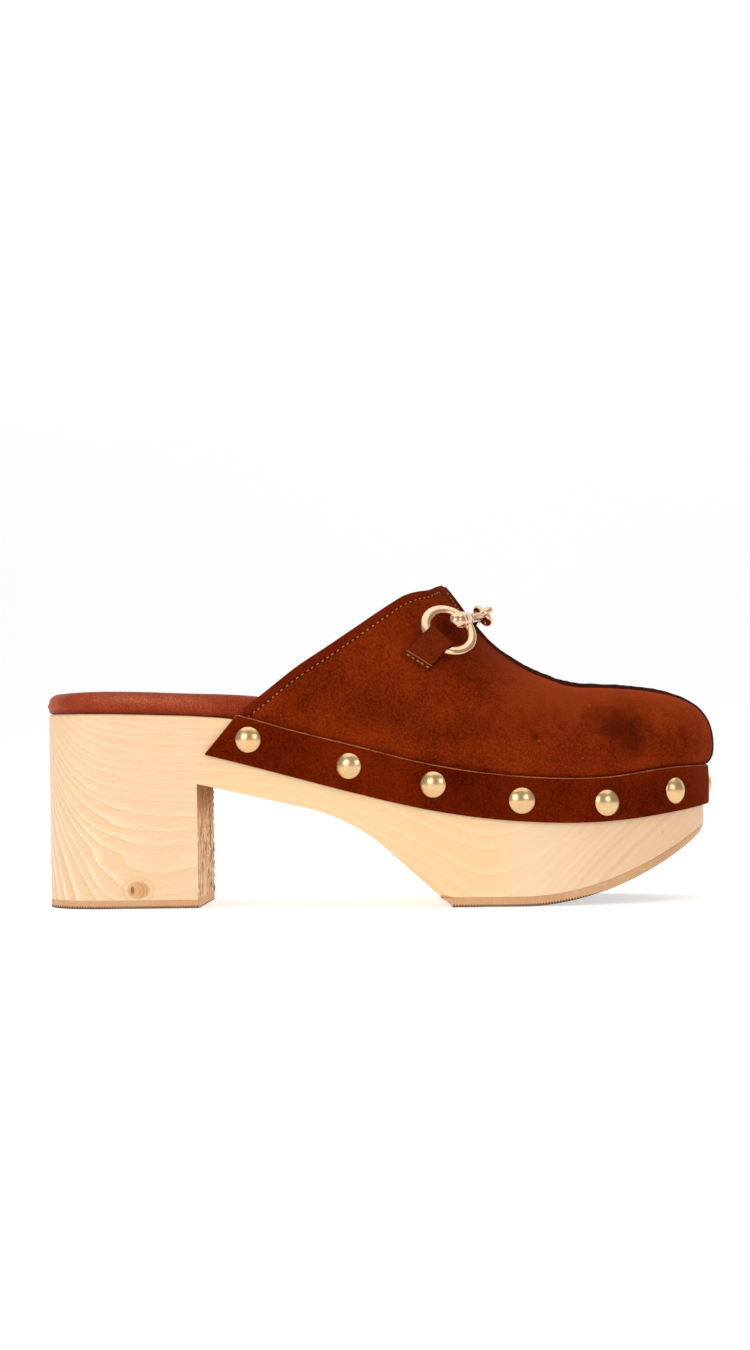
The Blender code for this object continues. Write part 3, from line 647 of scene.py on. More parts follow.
def insole_leather():
    """Smooth leather with pores: small cells pressed in, blotched colour, a soft shine, a painted
    highlight along its edge and painted shade at its foot.
    """
    finish, shader, place = new_finish(
        "insole leather", Coat_Roughness=0.45, Specular_IOR_Level=0.1
    )
    warp = place.noise(500.0, 2.0) * 0.0006
    bent = place.node("ShaderNodeVectorMath", {"operation": "ADD"}, {0: place, 1: warp})
    sockets = {"Vector": bent, "Scale": 1350.0}
    pore = place.node("ShaderNodeTexVoronoi", {"feature": "F1"}, sockets)
    fine = place.noise(2600.0, 2.0)
    blotch = place.noise(90.0, 4.0, 0.6)
    pit = pore.smooth(0.75, 0.25)
    tone = (blotch - 0.5) * 1.6 + (fine - 0.5) * 1.0 + 0.5
    rise = place.mark("rise")
    x, _, _ = place.axes()
    # painted highlight: a lighter band at mid height of the edge near the heel, as if the left lamp
    # shone there
    painted_highlight = rise.smooth(0.30, 0.62) * rise.smooth(1.0, 0.74)
    painted_highlight = painted_highlight * x.smooth(-0.118, -0.092) * x.smooth(-0.052, -0.080)
    layered(
        tone.mix(rgb(150, 48, 18), rgb(192, 80, 40)),
        (pore.smooth(0.45, 0.85) * 0.5, rgb(110, 32, 12)),
        (painted_highlight * (0.25 + pit * 0.35), rgb(214, 118, 84)),
        (x.smooth(-0.113, -0.127) * 0.5, rgb(216, 106, 62)),
        # painted shade: darker along the foot of the edge, against the wood
        (rise.smooth(0.30, 0.04) * 0.65, rgb(100, 26, 4)),
    ).feeds(shader, "Base Color")
    (0.5 - pit * 0.12 + (blotch - 0.5) * 0.2).feeds(shader, "Roughness")
    (0.02 + (blotch - 0.5) * 0.03).feeds(shader, "Coat Weight")
    (fine * 0.3 + pit).bump(1.0, 0.0004).feeds(shader, "Normal")
    return finish


def pad_rings():
    """Section rings of the pad: quarter rounds below and above a swollen edge, and a dished top."""
    seat_h = np.linspace(HEEL_ROUND, TOE_FROM, 130)[1:-1]
    h = np.concatenate([heel_marks(44), seat_h, toe_marks(40)])
    bed = curve(SEAT_TOP, h) + GLUE_LINE
    thick = curve(PAD_THICK, h) + GAP
    small = np.minimum(1.0, thick / PAD_FULL)
    inset = PAD_INSIDE * ease(h, *PAD_NARROWS)
    lower = PAD_LOWER_ROUND * small
    upper_out, upper_up = (size * small for size in PAD_UPPER_ROUND)
    levels = [
        (-inset - lower * (1 - np.sin(angle)), bed + lower * (1 - np.cos(angle)))
        for angle in quarter(9)
    ]
    for share in np.linspace(0, 1, 9)[1:-1]:
        z = bed + lower + share * (thick - lower - upper_up)
        levels.append((-inset + PAD_SWELL * np.sin(np.pi * share), z))
    for angle in quarter(13):
        z = bed + thick - upper_up * (1 - np.sin(angle))
        levels.append((-inset - upper_out * (1 - np.cos(angle)), z))
    sides = []
    for side in PLAN:
        soft = PAD_SOFT * ripple(h, np.full(len(h), PAD_WAVE * len(sides)), PAD_WAVE, 11)
        sides.append(wall(side, [(h, out + soft, z) for out, z in levels]))
    lateral, medial = sides
    over = between(lateral[:, -1], medial[:, -1], PAD_COLUMNS)
    across = np.linspace(0, 1, PAD_COLUMNS + 2)[1:-1]
    deep = PAD_DISH * np.sin(np.pi * across) ** PAD_DISH_POWER
    over[:, :, 2] -= deep * np.minimum(1, h / PAD_DISH_FROM)[:, None]
    below = between(medial[:, 0], lateral[:, 0], PAD_COLUMNS)
    ring = np.concatenate([lateral, over, medial[:, ::-1], below], axis=1)
    return ring, (ring[:, :, 2] - bed[:, None]) / thick[:, None]


ring, rise = pad_rings()
faces = cells(*ring.shape[:2], wrap_columns=True)
insole = skin("insole_padded", ring, [faces], [insole_leather()], {"rise": rise}, sharp_deg=70)
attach(insole, "root")
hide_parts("insole")


# Upper: two halves of rust-brown suede, sewn edge to edge along the middle with the raw edges
# standing up, lasted over a round toe. Its topline is turned in and stitched; its margin is nailed
# into the rabbet.

WALL = 1.8
UPPER_REAR_H = 77.0
PEAK_H = 152.0
BAND_TOP = [
    (57, 76.2), (76, 71.9), (95, 66.4), (117, 60.8), (148, 52.9), (181, 48.1), (210, 47.2),
    (239, 50.5), (252, 50.6),
]
TOPLINE = [
    (77.0, 73.4), (85.0, 79.6), (97.0, 88.9), (109.0, 96.7), (120.8, 104.5), (132.4, 112.3),
    (138.2, 115.9), (143.5, 117.5), (147.0, 118.2), (149.8, 119.8), (151.2, 120.2), (152.0, 120.1),
]
CROWN = [
    (77, 162), (90, 158), (110, 150), (130, 138), (142, 128.5), (152, 119.6), (159.3, 109.2),
    (168.8, 97.7), (176.5, 91.5), (184, 86.9), (190, 84.1), (196.5, 81.8), (203, 80.6),
]
RIDGE_LIFT = [(124, 0.0), (142, 1.5), (160, 1.5), (172, 1.0), (190, 0.4), (203, 0.0)]
RIDGE_WIDE = 6.5
ROUNDNESS = [(77, 2.0), (120, 1.95), (152, 1.9), (180, 2.1), (203, 2.35)]
SWELL = [(77, 0.8), (120, 1.2), (152, 1.6), (180, 2.2), (203, 2.8)]
TOE_ROUNDNESS = 3.8
TOE_SWELL = 3.8
TOE_TILT = 0.047
SWELL_ROOT = 2.2
SEAM_DRIFT = 1.5
SEAM_HALF = 1.5
SEAM_RAISE = [
    (152, 0.5), (157, 0.9), (168, 1.0), (186, 1.45), (203, 1.5), (228, 1.3), (240, 0.9), (250, 0.7),
]
SEAM_SECTION = [
    (0.08, 0.75), (0.16, 1.0), (0.32, 1.06), (0.47, 0.86), (0.53, 0.86), (0.68, 1.06), (0.84, 1.0),
    (0.92, 0.75),
]
RIB_ROWS = 72
RIB_MARKS = 721
THROAT_RIBS = 90
VAMP_RIBS = 56
TOE_RIBS = 70
TURNED_EDGE = 3.7
TURNED_DROP = 2.6
TURNED_PUFF = 0.20
PUFF_AT, PUFF_HALF = 1.4, 0.9
STITCH_GROOVE = 0.32
GROOVE_HALF = 0.5
RIDGE_EDGE = 2.6
RIDGE_RIBS = 13
RIDGE_ENDS = 12
RIM_ROWS = 7
RAW_EDGE_TORN = 0.09
SUEDE_WAVE, SUEDE_WAVE_LONG = 0.10, 14.0
CREASED_FROM_EDGE = (1.0, 8.0)
CREASED_FROM_BAND = (1, 9)
NOT_NEAR = 9.0
DARK_PATCHES = [
    # h, z, half width, half height, strength: nap that lies the other way on the lateral side; the
    # last row is painted shade inside the ring
    (216.6, 66.9, 12.5, 8.5, 0.64), (221.5, 60.8, 8.5, 7.5, 0.52), (186.0, 62.5, 1.7, 1.3, 0.4),
    (100.0, 79.0, 9.0, 6.0, 0.3), (166.0, 66.0, 26.0, 7.0, 0.22), (128.0, 72.0, 20.0, 7.0, 0.25),
    # painted shade inside the ring, where the tab's fold and the bar shade the vamp
    (154.5, 102.0, 6.5, 6.0, 0.45),
]
PALE_SPECKS = [
    # h, z, half width, half height
    (206.3, 73.6, 0.25, 0.7), (203.5, 54.3, 0.35, 0.35), (187.5, 61.0, 0.5, 0.3),
]
CREASES = [
    # h, z, half width, half height, depth, lean: soft troughs (minus) and ridges of the suede
    (199.0, 74.0, 5.0, 9.0, -0.45, 0.25), (188.0, 77.0, 6.0, 10.0, 0.35, 0.30),
    (170.0, 74.0, 9.0, 12.0, -0.40, 0.45), (222.0, 63.0, 10.0, 7.0, -0.50, -0.20),
    (150.0, 76.0, 14.0, 9.0, 0.35, 0.20), (126.0, 82.0, 12.0, 14.0, -0.35, 0.50),
    (108.0, 76.0, 9.0, 9.0, 0.30, 0.50), (236.0, 66.0, 7.0, 9.0, 0.25, 0.0),
]
TOPLINE_STITCH = {"pitch": 2.3, "length": 1.35, "thick": 0.46}
RIDGE_STITCH = {"pitch": 1.7, "length": 1.15, "thick": 0.48}
STITCH_WANDER = 0.12


def unit(vector):
    """Vectors brought to length 1."""
    return vector / np.maximum(np.linalg.norm(vector, axis=-1, keepdims=True), 1e-9)


def run_length(path):
    """Length along a path of points, from its start to each point."""
    return np.append(0, np.cumsum(np.linalg.norm(np.diff(path, axis=0), axis=1)))


def bell(x, middle, half):
    """Bell shape: e to the minus square of the distance from the middle in half widths."""
    return np.exp(-(((x - middle) / half) ** 2))


def seam_y(h):
    """Plan of the middle seam: straight over the instep, then to the toe's tip by a power."""
    return TOE_TIP_Y * np.clip((h - PEAK_H) / (LENGTH - PEAK_H), 0, 1) ** SEAM_DRIFT


def rib(side, foot_h, pole_h, top_z=None):
    """Outer line of one rib from the margin's lower edge over the band's top to crown or topline.

    Seen along the rib it is a quarter of a superellipse. Above the band it swells past the margin
    by an amount that dies away downward as an exponential, and beside the seam it is drawn up as
    a parabola.
    """
    sign = PLAN[side]["sign"]
    foot = edge(side, foot_h, 0.0)
    pole = np.array([pole_h, seam_y(pole_h) + sign * SEAM_HALF])
    span = np.linalg.norm(foot - pole)
    heading = (foot - pole) / span
    at = min(foot_h, TOE_FROM)
    band_top = curve(BAND_TOP, foot_h)
    lift = curve(RIDGE_LIFT, at)
    crown = curve(CROWN, at) - lift
    forward = max(heading[0], 0.0) ** 2
    power = curve(ROUNDNESS, at) * (1 - forward) + TOE_ROUNDNESS * forward
    swell = curve(SWELL, at) * (1 - forward) + TOE_SWELL * forward
    t = quarter(RIB_MARKS)
    out = np.cos(t) ** (2 / power)
    out[-1] = 0.0
    up = np.sin(t) ** (2 / power)
    radius = (span + swell) * out - swell * np.exp(-(crown - band_top) * up / SWELL_ROOT)
    z = band_top + (crown - TOE_TILT * forward * radius - band_top) * up
    z += lift * np.clip(1 - radius / RIDGE_WIDE, 0, 1) ** 2
    if top_z is not None:
        keep = z < top_z
        radius = np.append(radius[keep], np.interp(top_z, z, radius))
        z = np.append(z[keep], top_z)
    length = run_length(np.column_stack([radius, z]))
    even = np.linspace(0, length[-1], RIB_ROWS)
    radius = np.interp(even, length, radius)
    face = np.column_stack([pole + radius[:, None] * heading, np.interp(even, length, z)])
    margin = np.array([*foot, curve(BAND_FOOT, foot_h) + SHELF_UP + GAP])
    return np.vstack([margin, face])


def toe_feet(side):
    """h of the toe ribs' feet, at even lengths along the edge from the pole's rib to the seam."""
    h, y = PLAN_LINES[side][:2]
    length = run_length(np.column_stack([h, y]))
    front = h > TOE_FROM
    sign = PLAN[side]["sign"]
    stop = np.interp(-sign * TOE_TIP_Y - SEAM_HALF, -sign * y[front], length[front])
    start = np.interp(TOE_FROM, h, length)
    return np.interp(np.linspace(start, stop, TOE_RIBS + 1)[1:], length, h)


def ribs(side):
    """One half of the upper as a grid of ribs: upright sections to the pole, then a toe fan."""
    throat = np.linspace(UPPER_REAR_H, PEAK_H, THROAT_RIBS)
    vamp_h = np.linspace(PEAK_H, TOE_FROM, VAMP_RIBS)
    grid = [rib(side, h, h, curve(TOPLINE, h)) for h in throat[:-1]]
    grid += [rib(side, h, h) for h in vamp_h]
    grid += [rib(side, h, TOE_FROM) for h in toe_feet(side)]
    return np.array(grid), THROAT_RIBS - 1, THROAT_RIBS + VAMP_RIBS - 2


def sheet_normals(points, faces):
    """Unit normal of each point: the sum of its quads' normals, weighted by their areas."""
    a, b, c, d = (points[faces[:, corner]] for corner in range(4))
    across = np.cross(c - a, d - b)
    total = np.zeros_like(points)
    for corner in range(4):
        np.add.at(total, faces[:, corner], across)
    return unit(total)


def crease_depth(points):
    """How far the suede is pushed out at each point: a sum of leaning bell shapes over (h, z)."""
    depth = SUEDE_WAVE * ripple(points[:, 0], points[:, 2], SUEDE_WAVE_LONG, 21)
    for h, z, wide, high, push, lean in CREASES:
        up = points[:, 2] - z
        along = points[:, 0] - h - lean * up
        depth += push * np.exp(-((along / wide) ** 2) - (up / high) ** 2)
    return depth


def suede(name, dark, light, marks):
    """Suede: nap laid by brushing in clouds over fine speckle, dull, with a velvet edge, then its
    marks.
    """
    finish, shader, place = new_finish(
        name, Roughness=1.0, Specular_IOR_Level=0.03, Sheen_Roughness=0.35,
        Sheen_Weight=0.14, Sheen_Tint=rgb(236, 112, 56),
    )
    cloud = place.noise(34.0, 3.0, 0.55)
    nap = place.noise(170.0, 4.0, 0.62)
    speckle = place.noise(1250.0, 3.0, 0.65)
    fibre = place.noise(3600.0, 2.0)
    tone = (cloud - 0.5) * 1.3 + (nap - 0.5) * 0.6 + (speckle - 0.5) * 1.9 + (fibre - 0.5) * 2.0
    marks(place, nap, (tone + 0.5).mix(dark, light)).feeds(shader, "Base Color")
    (speckle * 0.8 + fibre * 0.7 + nap * 0.4).bump(0.6, 0.0004).feeds(shader, "Normal")
    return finish


def upper_marks(place, nap, colour):
    """Painted light high towards the toe, dark nap patches, painted shade by the ring and in the
    stitch groove, pale specks and the darker turned edge.

    Each patch or speck is an oval: it fades with the distance from its middle in half sizes.
    """
    x, y, z = place.axes()
    # painted light: the upper part of the suede, towards the toe, is lightened as if lit from above
    painted_top_light = (z + (nap - 0.5) * 0.016).smooth(0.058, 0.077) * x.smooth(0.034, 0.062)
    lateral = y.smooth(-0.004, -0.012)
    rough = (nap - 0.5) * 0.8
    layers = [(painted_top_light * 0.38, rgb(178, 68, 25))]

    def oval(h, height, wide, high):
        """Distance from a place, 1 on the oval round it."""
        off_h = (x / MM + (BOX_MIDDLE[0] - h)) / wide
        return off_h.hypot((z / MM - height) / high)

    # the last patch is painted shade inside the ring, the others dark nap
    for *place_and_size, depth in DARK_PATCHES:
        patch = (oval(*place_and_size) + rough).smooth(1.35, 0.05)
        layers.append((patch * lateral * depth, rgb(60, 9, 0)))
    for place_and_size in PALE_SPECKS:
        speck = oval(*place_and_size).smooth(1.3, 0.3)
        layers.append((speck * lateral * 0.4, rgb(186, 110, 80)))
    near = place.mark("from_edge")
    turned = near.smooth(TURNED_EDGE + 0.35, TURNED_EDGE - 0.35)
    # painted shade along the stitch groove of the turned edge
    groove = near.smooth(TURNED_EDGE - 0.65, TURNED_EDGE)
    groove = groove * near.smooth(TURNED_EDGE + 0.65, TURNED_EDGE)
    layers += [(turned * 0.45, rgb(92, 18, 7)), (groove * 0.85, rgb(44, 7, 2))]
    return layered(colour, *layers)


def raw_edge():
    """Cut edge of the two halves, standing up along the seam: almost black brown, fibrous."""
    finish, shader, place = new_finish("seam raw edge", Roughness=1.0, Specular_IOR_Level=0.1)
    fibre = place.noise(1900.0, 3.0, 0.7)
    colour = fibre.smooth(0.35, 0.75).mix(rgb(48, 17, 11), rgb(100, 46, 32))
    ridge = place.axes()[0].smooth(0.038, 0.028) * 0.8
    ridge.mix(colour, rgb(96, 30, 12)).feeds(shader, "Base Color")
    fibre.bump(0.8, 0.0005).feeds(shader, "Normal")
    return finish


def upper_sheet():
    """Outer surface of the upper before it has a wall: points, quads and marks.

    The two halves are grids of ribs. The seam is a strip between their edges, raised in the middle
    as two raw edges with a groove between them, and it dies away at the margin under the toe.
    """
    points, faces, borders, grids, near = [], [], [], [], []
    first = 0
    for side in PLAN:
        grid, peak, pole = ribs(side)
        rows, columns = grid.shape[:2]
        number = first + np.arange(rows * columns).reshape(rows, columns)
        number[pole:, -1] = number[pole, -1]
        faces.append(quads(number) if side == "lateral" else quads(number)[:, ::-1])
        step = np.linalg.norm(np.diff(grid, axis=1), axis=2)
        down = np.zeros((rows, columns))
        down[:, :-1] = np.cumsum(step[:, ::-1], axis=1)[:, ::-1]
        past = np.maximum(grid[:, :, 0] - PEAK_H, 0)
        sunk = grid[:, -1:, 2] - grid[:, :, 2]
        reach = [np.interp(TURNED_DROP, sunk[i, ::-1], down[i, ::-1]) for i in range(peak)]
        wider = np.maximum(1, np.array(reach) / TURNED_EDGE)
        wider = np.append(wider, np.full(rows - peak, wider[-1]))[:, None]
        ridge = down * TURNED_EDGE / RIDGE_EDGE + 3 * np.maximum(past - RIDGE_ENDS, 0)
        ridge = np.where(past > 0, ridge, 99)
        near.append(np.minimum(np.hypot(down / wider, past), ridge).ravel())
        points.append(grid.reshape(-1, 3))
        borders.append(np.concatenate([number[peak:pole, -1], number[-1, ::-1]]))
        grids.append((number, down, wider, peak))
        first += rows * columns
    points = np.concatenate(points)
    near = np.concatenate(near)
    lateral, medial = borders
    raised = np.zeros(len(points))
    strip = [lateral]
    count = np.arange(len(lateral))
    for share, up in SEAM_SECTION:
        crest = points[lateral] + share * (points[medial] - points[lateral])
        torn = ripple(count * 0.9, np.full(len(count), 30.0 * share), 2.4, 31)
        torn = 1 + RAW_EDGE_TORN * torn
        high = curve(SEAM_RAISE, crest[:, 0]) * up * torn * np.minimum(1, count[::-1] / 3)
        strip.append(len(points) + count)
        points = np.vstack([points, crest])
        raised = np.append(raised, high)
        near = np.append(near, np.full(len(count), NOT_NEAR))
    strip.append(medial)
    strip = np.array(strip).T
    free = np.ones(len(points))
    free[np.unique(strip)] = 0.0
    return points, np.concatenate(faces), quads(strip), raised, near, free, grids


def upper_skin(points, halves, seam, raised, near, free, grids):
    """Points and quads of the whole wall: outer face, inner face along the normals, and a rim.

    The rim is a half round along the topline and flat elsewhere. A turned edge stands a little
    proud of the suede and its row of stitches lies in a groove.
    """
    sheet = np.concatenate([halves, seam])
    normal = sheet_normals(points, sheet)
    clear = ease(points[:, 2] - curve(BAND_TOP, points[:, 0]), *CREASED_FROM_BAND)
    soft = crease_depth(points) * ease(near, *CREASED_FROM_EDGE) * clear
    puff = TURNED_PUFF * bell(near, PUFF_AT, PUFF_HALF)
    puff = puff - STITCH_GROOVE * bell(near, TURNED_EDGE, GROOVE_HALF)
    outer = points + (raised + (soft + puff) * free)[:, None] * normal
    inner = points - WALL * normal
    count = len(points)
    ends = np.concatenate([sheet[:, [i, (i + 1) % 4]] for i in range(4)])
    ends = ends[ends[:, 0] != ends[:, 1]]
    inside = np.isin(ends[:, 0] * count + ends[:, 1], ends[:, 1] * count + ends[:, 0])
    start, stop = ends[~inside].T
    border = np.unique([start, stop])
    away = np.zeros((count, 3))
    for number, _, _, peak in grids:
        top = number[:peak + 1, -1]
        away[top] = points[top] - points[number[:peak + 1, -2]]
    away = unit(away)[border]
    slot_of = np.zeros(count, int)
    slot_of[border] = np.arange(len(border))
    angle = np.linspace(0, np.pi, RIM_ROWS)[1:-1, None, None]
    middle = (outer[border] + inner[border]) / 2
    rim = middle + np.cos(angle) * (outer[border] - inner[border]) / 2
    rim = rim + np.sin(angle) * WALL / 2 * away
    rows = [2 * count + k * len(border) + slot_of for k in range(len(rim))]
    rows = [np.arange(count), *rows, count + np.arange(count)]
    pairs = zip(rows, rows[1:])
    around = [np.column_stack([a[stop], a[start], b[start], b[stop]]) for a, b in pairs]
    everything = np.vstack([outer, inner, rim.reshape(-1, 3)])
    from_edge = [near, np.full(count, NOT_NEAR), np.tile(near[border], len(rim))]
    marks = {"from_edge": np.concatenate(from_edge)}
    blocks = [np.concatenate([halves, *around]), seam, sheet[:, ::-1] + count]
    return everything, blocks, marks, outer, normal


def full_turn(count):
    """Even angles of a whole turn, the last one left out."""
    return np.linspace(0, 2 * np.pi, count + 1)[:-1]


def copies(faces, count, size):
    """The same quads for each of count grids, with size points to a grid."""
    return (faces[None] + size * np.arange(count)[:, None, None]).reshape(-1, 4)


def stitches(name, path, normal, finish, pitch, length, thick):
    """Row of stitches along a path: short tubes that rise from the surface as half a sine."""
    steps, sides = 9, 8
    run = run_length(path)
    count = int((run[-1] - length) // pitch) + 1
    along = (np.arange(count) * pitch)[:, None] + np.linspace(0, length, steps)
    wander = STITCH_WANDER * pitch * ripple(np.arange(count), np.zeros(count), 2.1, 41)
    along = along + wander[:, None]
    middle = np.stack([np.interp(along, run, path[:, axis]) for axis in range(3)], -1)
    up = unit(np.stack([np.interp(along, run, normal[:, axis]) for axis in range(3)], -1))
    across = np.cross(up, unit(np.gradient(middle, axis=1)))
    arc = np.sin(np.linspace(0, np.pi, steps))[:, None, None]
    turn = full_turn(sides)[:, None]
    girth = thick / 2 * np.sqrt(arc)
    lift = thick * (0.75 * arc - 0.3)
    tube = middle[:, :, None] + lift * up[:, :, None]
    tube = tube + girth * (np.cos(turn) * across[:, :, None] + np.sin(turn) * up[:, :, None])
    faces = copies(cells(steps, sides, wrap_columns=True), count, steps * sides)
    piece = skin(name, tube, [faces], [finish], sharp_deg=80)
    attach(piece, "root")


def tan_thread():
    """Twisted tan thread: fine ply lines and a dull shine."""
    finish, shader, place = new_finish("tan thread", Roughness=0.7, Specular_IOR_Level=0.3)
    ply = place.noise(5200.0, 2.0)
    ply.smooth(0.3, 0.7).mix(rgb(150, 84, 50), rgb(222, 152, 108)).feeds(shader, "Base Color")
    ply.bump(0.6, 0.0002).feeds(shader, "Normal")
    return finish


def bare_hide(name, dark, light, fuzz, patch, depth):
    """Hide without its nap, on a cut edge or the flesh side: fuzzy fibres over paler patches."""
    finish, shader, place = new_finish(name, Roughness=1.0, Specular_IOR_Level=0.1)
    fibre = place.noise(*fuzz, 0.7)
    tone = (fibre * 0.6 + place.noise(patch, 3.0) * 0.5).smooth(0.3, 0.8)
    tone.mix(dark, light).feeds(shader, "Base Color")
    fibre.bump(0.7, depth).feeds(shader, "Normal")
    return finish


def edge_path(grid, source):
    """Points or normals along one half's stitches: inside the topline, then beside the seam."""
    number, down, wider, peak = grid

    def at(i, depth):
        """Value on one rib, this far down from its end."""
        reach, row = down[i, ::-1], source[number[i, ::-1]]
        return [np.interp(depth, reach, row[:, axis]) for axis in range(3)]

    topline = [at(i, TURNED_EDGE * wider[i, 0]) for i in range(2, peak)]
    ridge = [at(i, RIDGE_EDGE) for i in range(peak + 1, peak + RIDGE_RIBS)]
    return np.array(topline), np.array(ridge)


finishes = [
    suede("brown suede", rgb(84, 18, 1), rgb(144, 49, 11), upper_marks),
    raw_edge(),
    bare_hide("suede back", rgb(96, 36, 18), rgb(142, 66, 38), (900.0, 4.0), 60.0, 0.0005),
]
sheet = upper_sheet()
points, blocks, marks, outer, normal = upper_skin(*sheet)
upper = skin("upper_suede", points, blocks, finishes, marks, sharp_deg=55)
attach(upper, "root")
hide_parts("upper")
thread = tan_thread()
for side, grid in zip(PLAN, sheet[-1]):
    topline, ridge = edge_path(grid, outer)
    topline_up, ridge_up = edge_path(grid, normal)
    stitches(f"topline_stitches_{side}", topline, topline_up, thread, **TOPLINE_STITCH)
    stitches(f"ridge_stitches_{side}", ridge, ridge_up, thread, **RIDGE_STITCH)


# Band: strip of darker suede with cut edges, laid round the margin over the upper and the wood.
# The studs pull it in a little, so it stands slightly proud between them; its cut top edge shows
# paler.

BAND_THICK = 1.8
BAND_BEVEL = 0.35
BAND_HEIGHT = 17
BAND_REAR_TOP = 74.6
BAND_REAR_FOOT = 62.6
BAND_MARKS = 250
BAND_ROWS = 15
BAND_SWELL = 0.22
BAND_SWELL_POWER = 0.8
BAND_WAVE, BAND_WAVE_LONG = 0.05, 7.0
END_ROUND = 0.45
END_MARKS = (0.0, 0.15, 0.5)
STUD_PULL = 0.30
PULL_REACH = 8.5
SIDE_STUDS = [
    # h, share of the band's height
    (79.0, 0.54), (117.1, 0.54), (148.6, 0.57), (180.6, 0.46), (211.4, 0.42), (236.5, 0.47),
]
TOE_STUD_Y = 14.0
TOE_STUD_SHARE = 0.5


def stud_places():
    """(side, h, share of the band's height) of every stud, from the lateral rear round the toe."""
    h, y = PLAN_LINES["medial"][:2]
    front = h > TOE_FROM
    toe_h = np.interp(-TOE_STUD_Y, -y[front], h[front])
    lateral = [("lateral", *stud) for stud in SIDE_STUDS]
    medial = [("medial", *stud) for stud in reversed(SIDE_STUDS)]
    return lateral + [("medial", toe_h, TOE_STUD_SHARE)] + medial


def band_rings():
    """Section rings of the strip, from the lateral rear end round the toe to the medial one.

    Its ends are slanted by shearing the lower edge backward. The outer face swells between the
    studs and is drawn in round each of them by a bell shape.
    """
    shear = (LENGTH - BAND_REAR_FOOT) / (LENGTH - BAND_REAR_TOP)
    sides = []
    for side in PLAN:
        h, y = PLAN_LINES[side][:2]
        length = run_length(np.column_stack([h, y]))
        rear = np.interp(BAND_REAR_TOP, h, length)
        even = np.linspace(rear + 1, length[-1], BAND_MARKS)
        top_h = np.interp(np.append(rear + np.array(END_MARKS), even), length, h)
        foot_h = LENGTH - (LENGTH - top_h) * shear
        top = curve(BAND_TOP, top_h)
        foot = curve(BAND_FOOT, foot_h)
        round_end = END_ROUND * (1 - np.minimum(1, np.arange(len(top_h)) / 2)) ** 2
        face = GAP + BAND_THICK
        corner = face - BAND_BEVEL - round_end
        levels = [(foot_h, GAP, foot), (foot_h, corner, foot)]
        for share in np.linspace(0, 1, BAND_ROWS):
            at = foot_h + share * (top_h - foot_h)
            z = foot + BAND_BEVEL + share * (top - foot - 2 * BAND_BEVEL)
            swell = BAND_SWELL * np.sin(np.pi * share) ** BAND_SWELL_POWER
            for stud_h, stud_share in SIDE_STUDS:
                up = (share - stud_share) * BAND_HEIGHT
                off = ((at - stud_h) / PULL_REACH) ** 2 + (up / PULL_REACH) ** 2
                swell = swell - STUD_PULL * np.exp(-off)
            swell = swell + BAND_WAVE * ripple(at, z, BAND_WAVE_LONG, 51)
            levels.append((at, face + swell - round_end, z))
        levels += [(top_h, corner, top), (top_h, GAP, top)]
        sides.append(wall(side, levels))
    return np.concatenate([sides[0], sides[1][-2::-1]])


def end_caps(rows, columns):
    """Fans of triangles, as quads with a doubled corner, over the first and last ring of a grid."""
    step = np.arange(1, columns - 1)
    first = np.column_stack([np.zeros_like(step), step, step + 1, step + 1])
    return first, first + (rows - 1) * columns


def cut_edge(name, dark, light):
    """Cut edge of a strip: pale orange-tan fibres of the hide, darker in places."""
    return bare_hide(name, dark, light, (1400.0, 3.0), 120.0, 0.0004)


def band_marks(place, nap, colour):
    """Nap that lies darker beside the ball and paler round the toe."""
    x, _, _ = place.axes()
    ball = x.smooth(0.008, 0.030) * x.smooth(0.068, 0.045)
    return layered(
        colour,
        (ball * (0.15 + nap * 0.15), rgb(56, 4, 0)),
        (x.smooth(0.103, 0.120) * 0.16, rgb(140, 50, 12)),
    )


ring = band_rings()
rows, columns = ring.shape[:2]
faces = cells(rows, columns, wrap_columns=True).reshape(rows - 1, columns, 4)
top_faces = faces[:, -3:-1].reshape(-1, 4)
other_faces = np.concatenate([faces[:, :-3].reshape(-1, 4), faces[:, -1:].reshape(-1, 4)])
blocks = [other_faces, np.concatenate([top_faces, *end_caps(rows, columns)])]
finishes = [
    suede("band suede", rgb(69, 10, 0), rgb(123, 35, 4), band_marks),
    cut_edge("band cut edge", rgb(104, 42, 20), rgb(202, 116, 72)),
]
band = skin("band_strip", ring, blocks, finishes, sharp_deg=48)
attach(band, "root")
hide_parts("band")


# Studs: thirteen domed nail heads, pressed from sheet metal and plated pale gold. They are driven
# through the band and the upper's margin into the wood, six along each side and one at the toe.

STUD_RADIUS = 4.95
STUD_RISE = 2.2
STUD_SUNK = 0.6
STUD_RINGS = 19
STUD_SIDES = 40


def pale_gold(name, colour, dull):
    """Plated metal: almost a mirror, with faint polishing marks and a little tarnish in clouds."""
    finish, shader, place = new_finish(name, Metallic=1.0)
    cloud = place.noise(240.0, 3.0)
    hair = place.stretched(1.0, 1.0, 0.2).noise(3200.0, 2.0)
    tarnish = cloud.smooth(0.35, 0.75) * 0.22
    tarnish.mix(colour, rgb(206, 160, 104)).feeds(shader, "Base Color")
    (dull + (cloud - 0.5) * 0.06 + (hair - 0.5) * 0.04).feeds(shader, "Roughness")
    (hair + cloud).bump(0.02, 0.00005).feeds(shader, "Normal")
    return finish


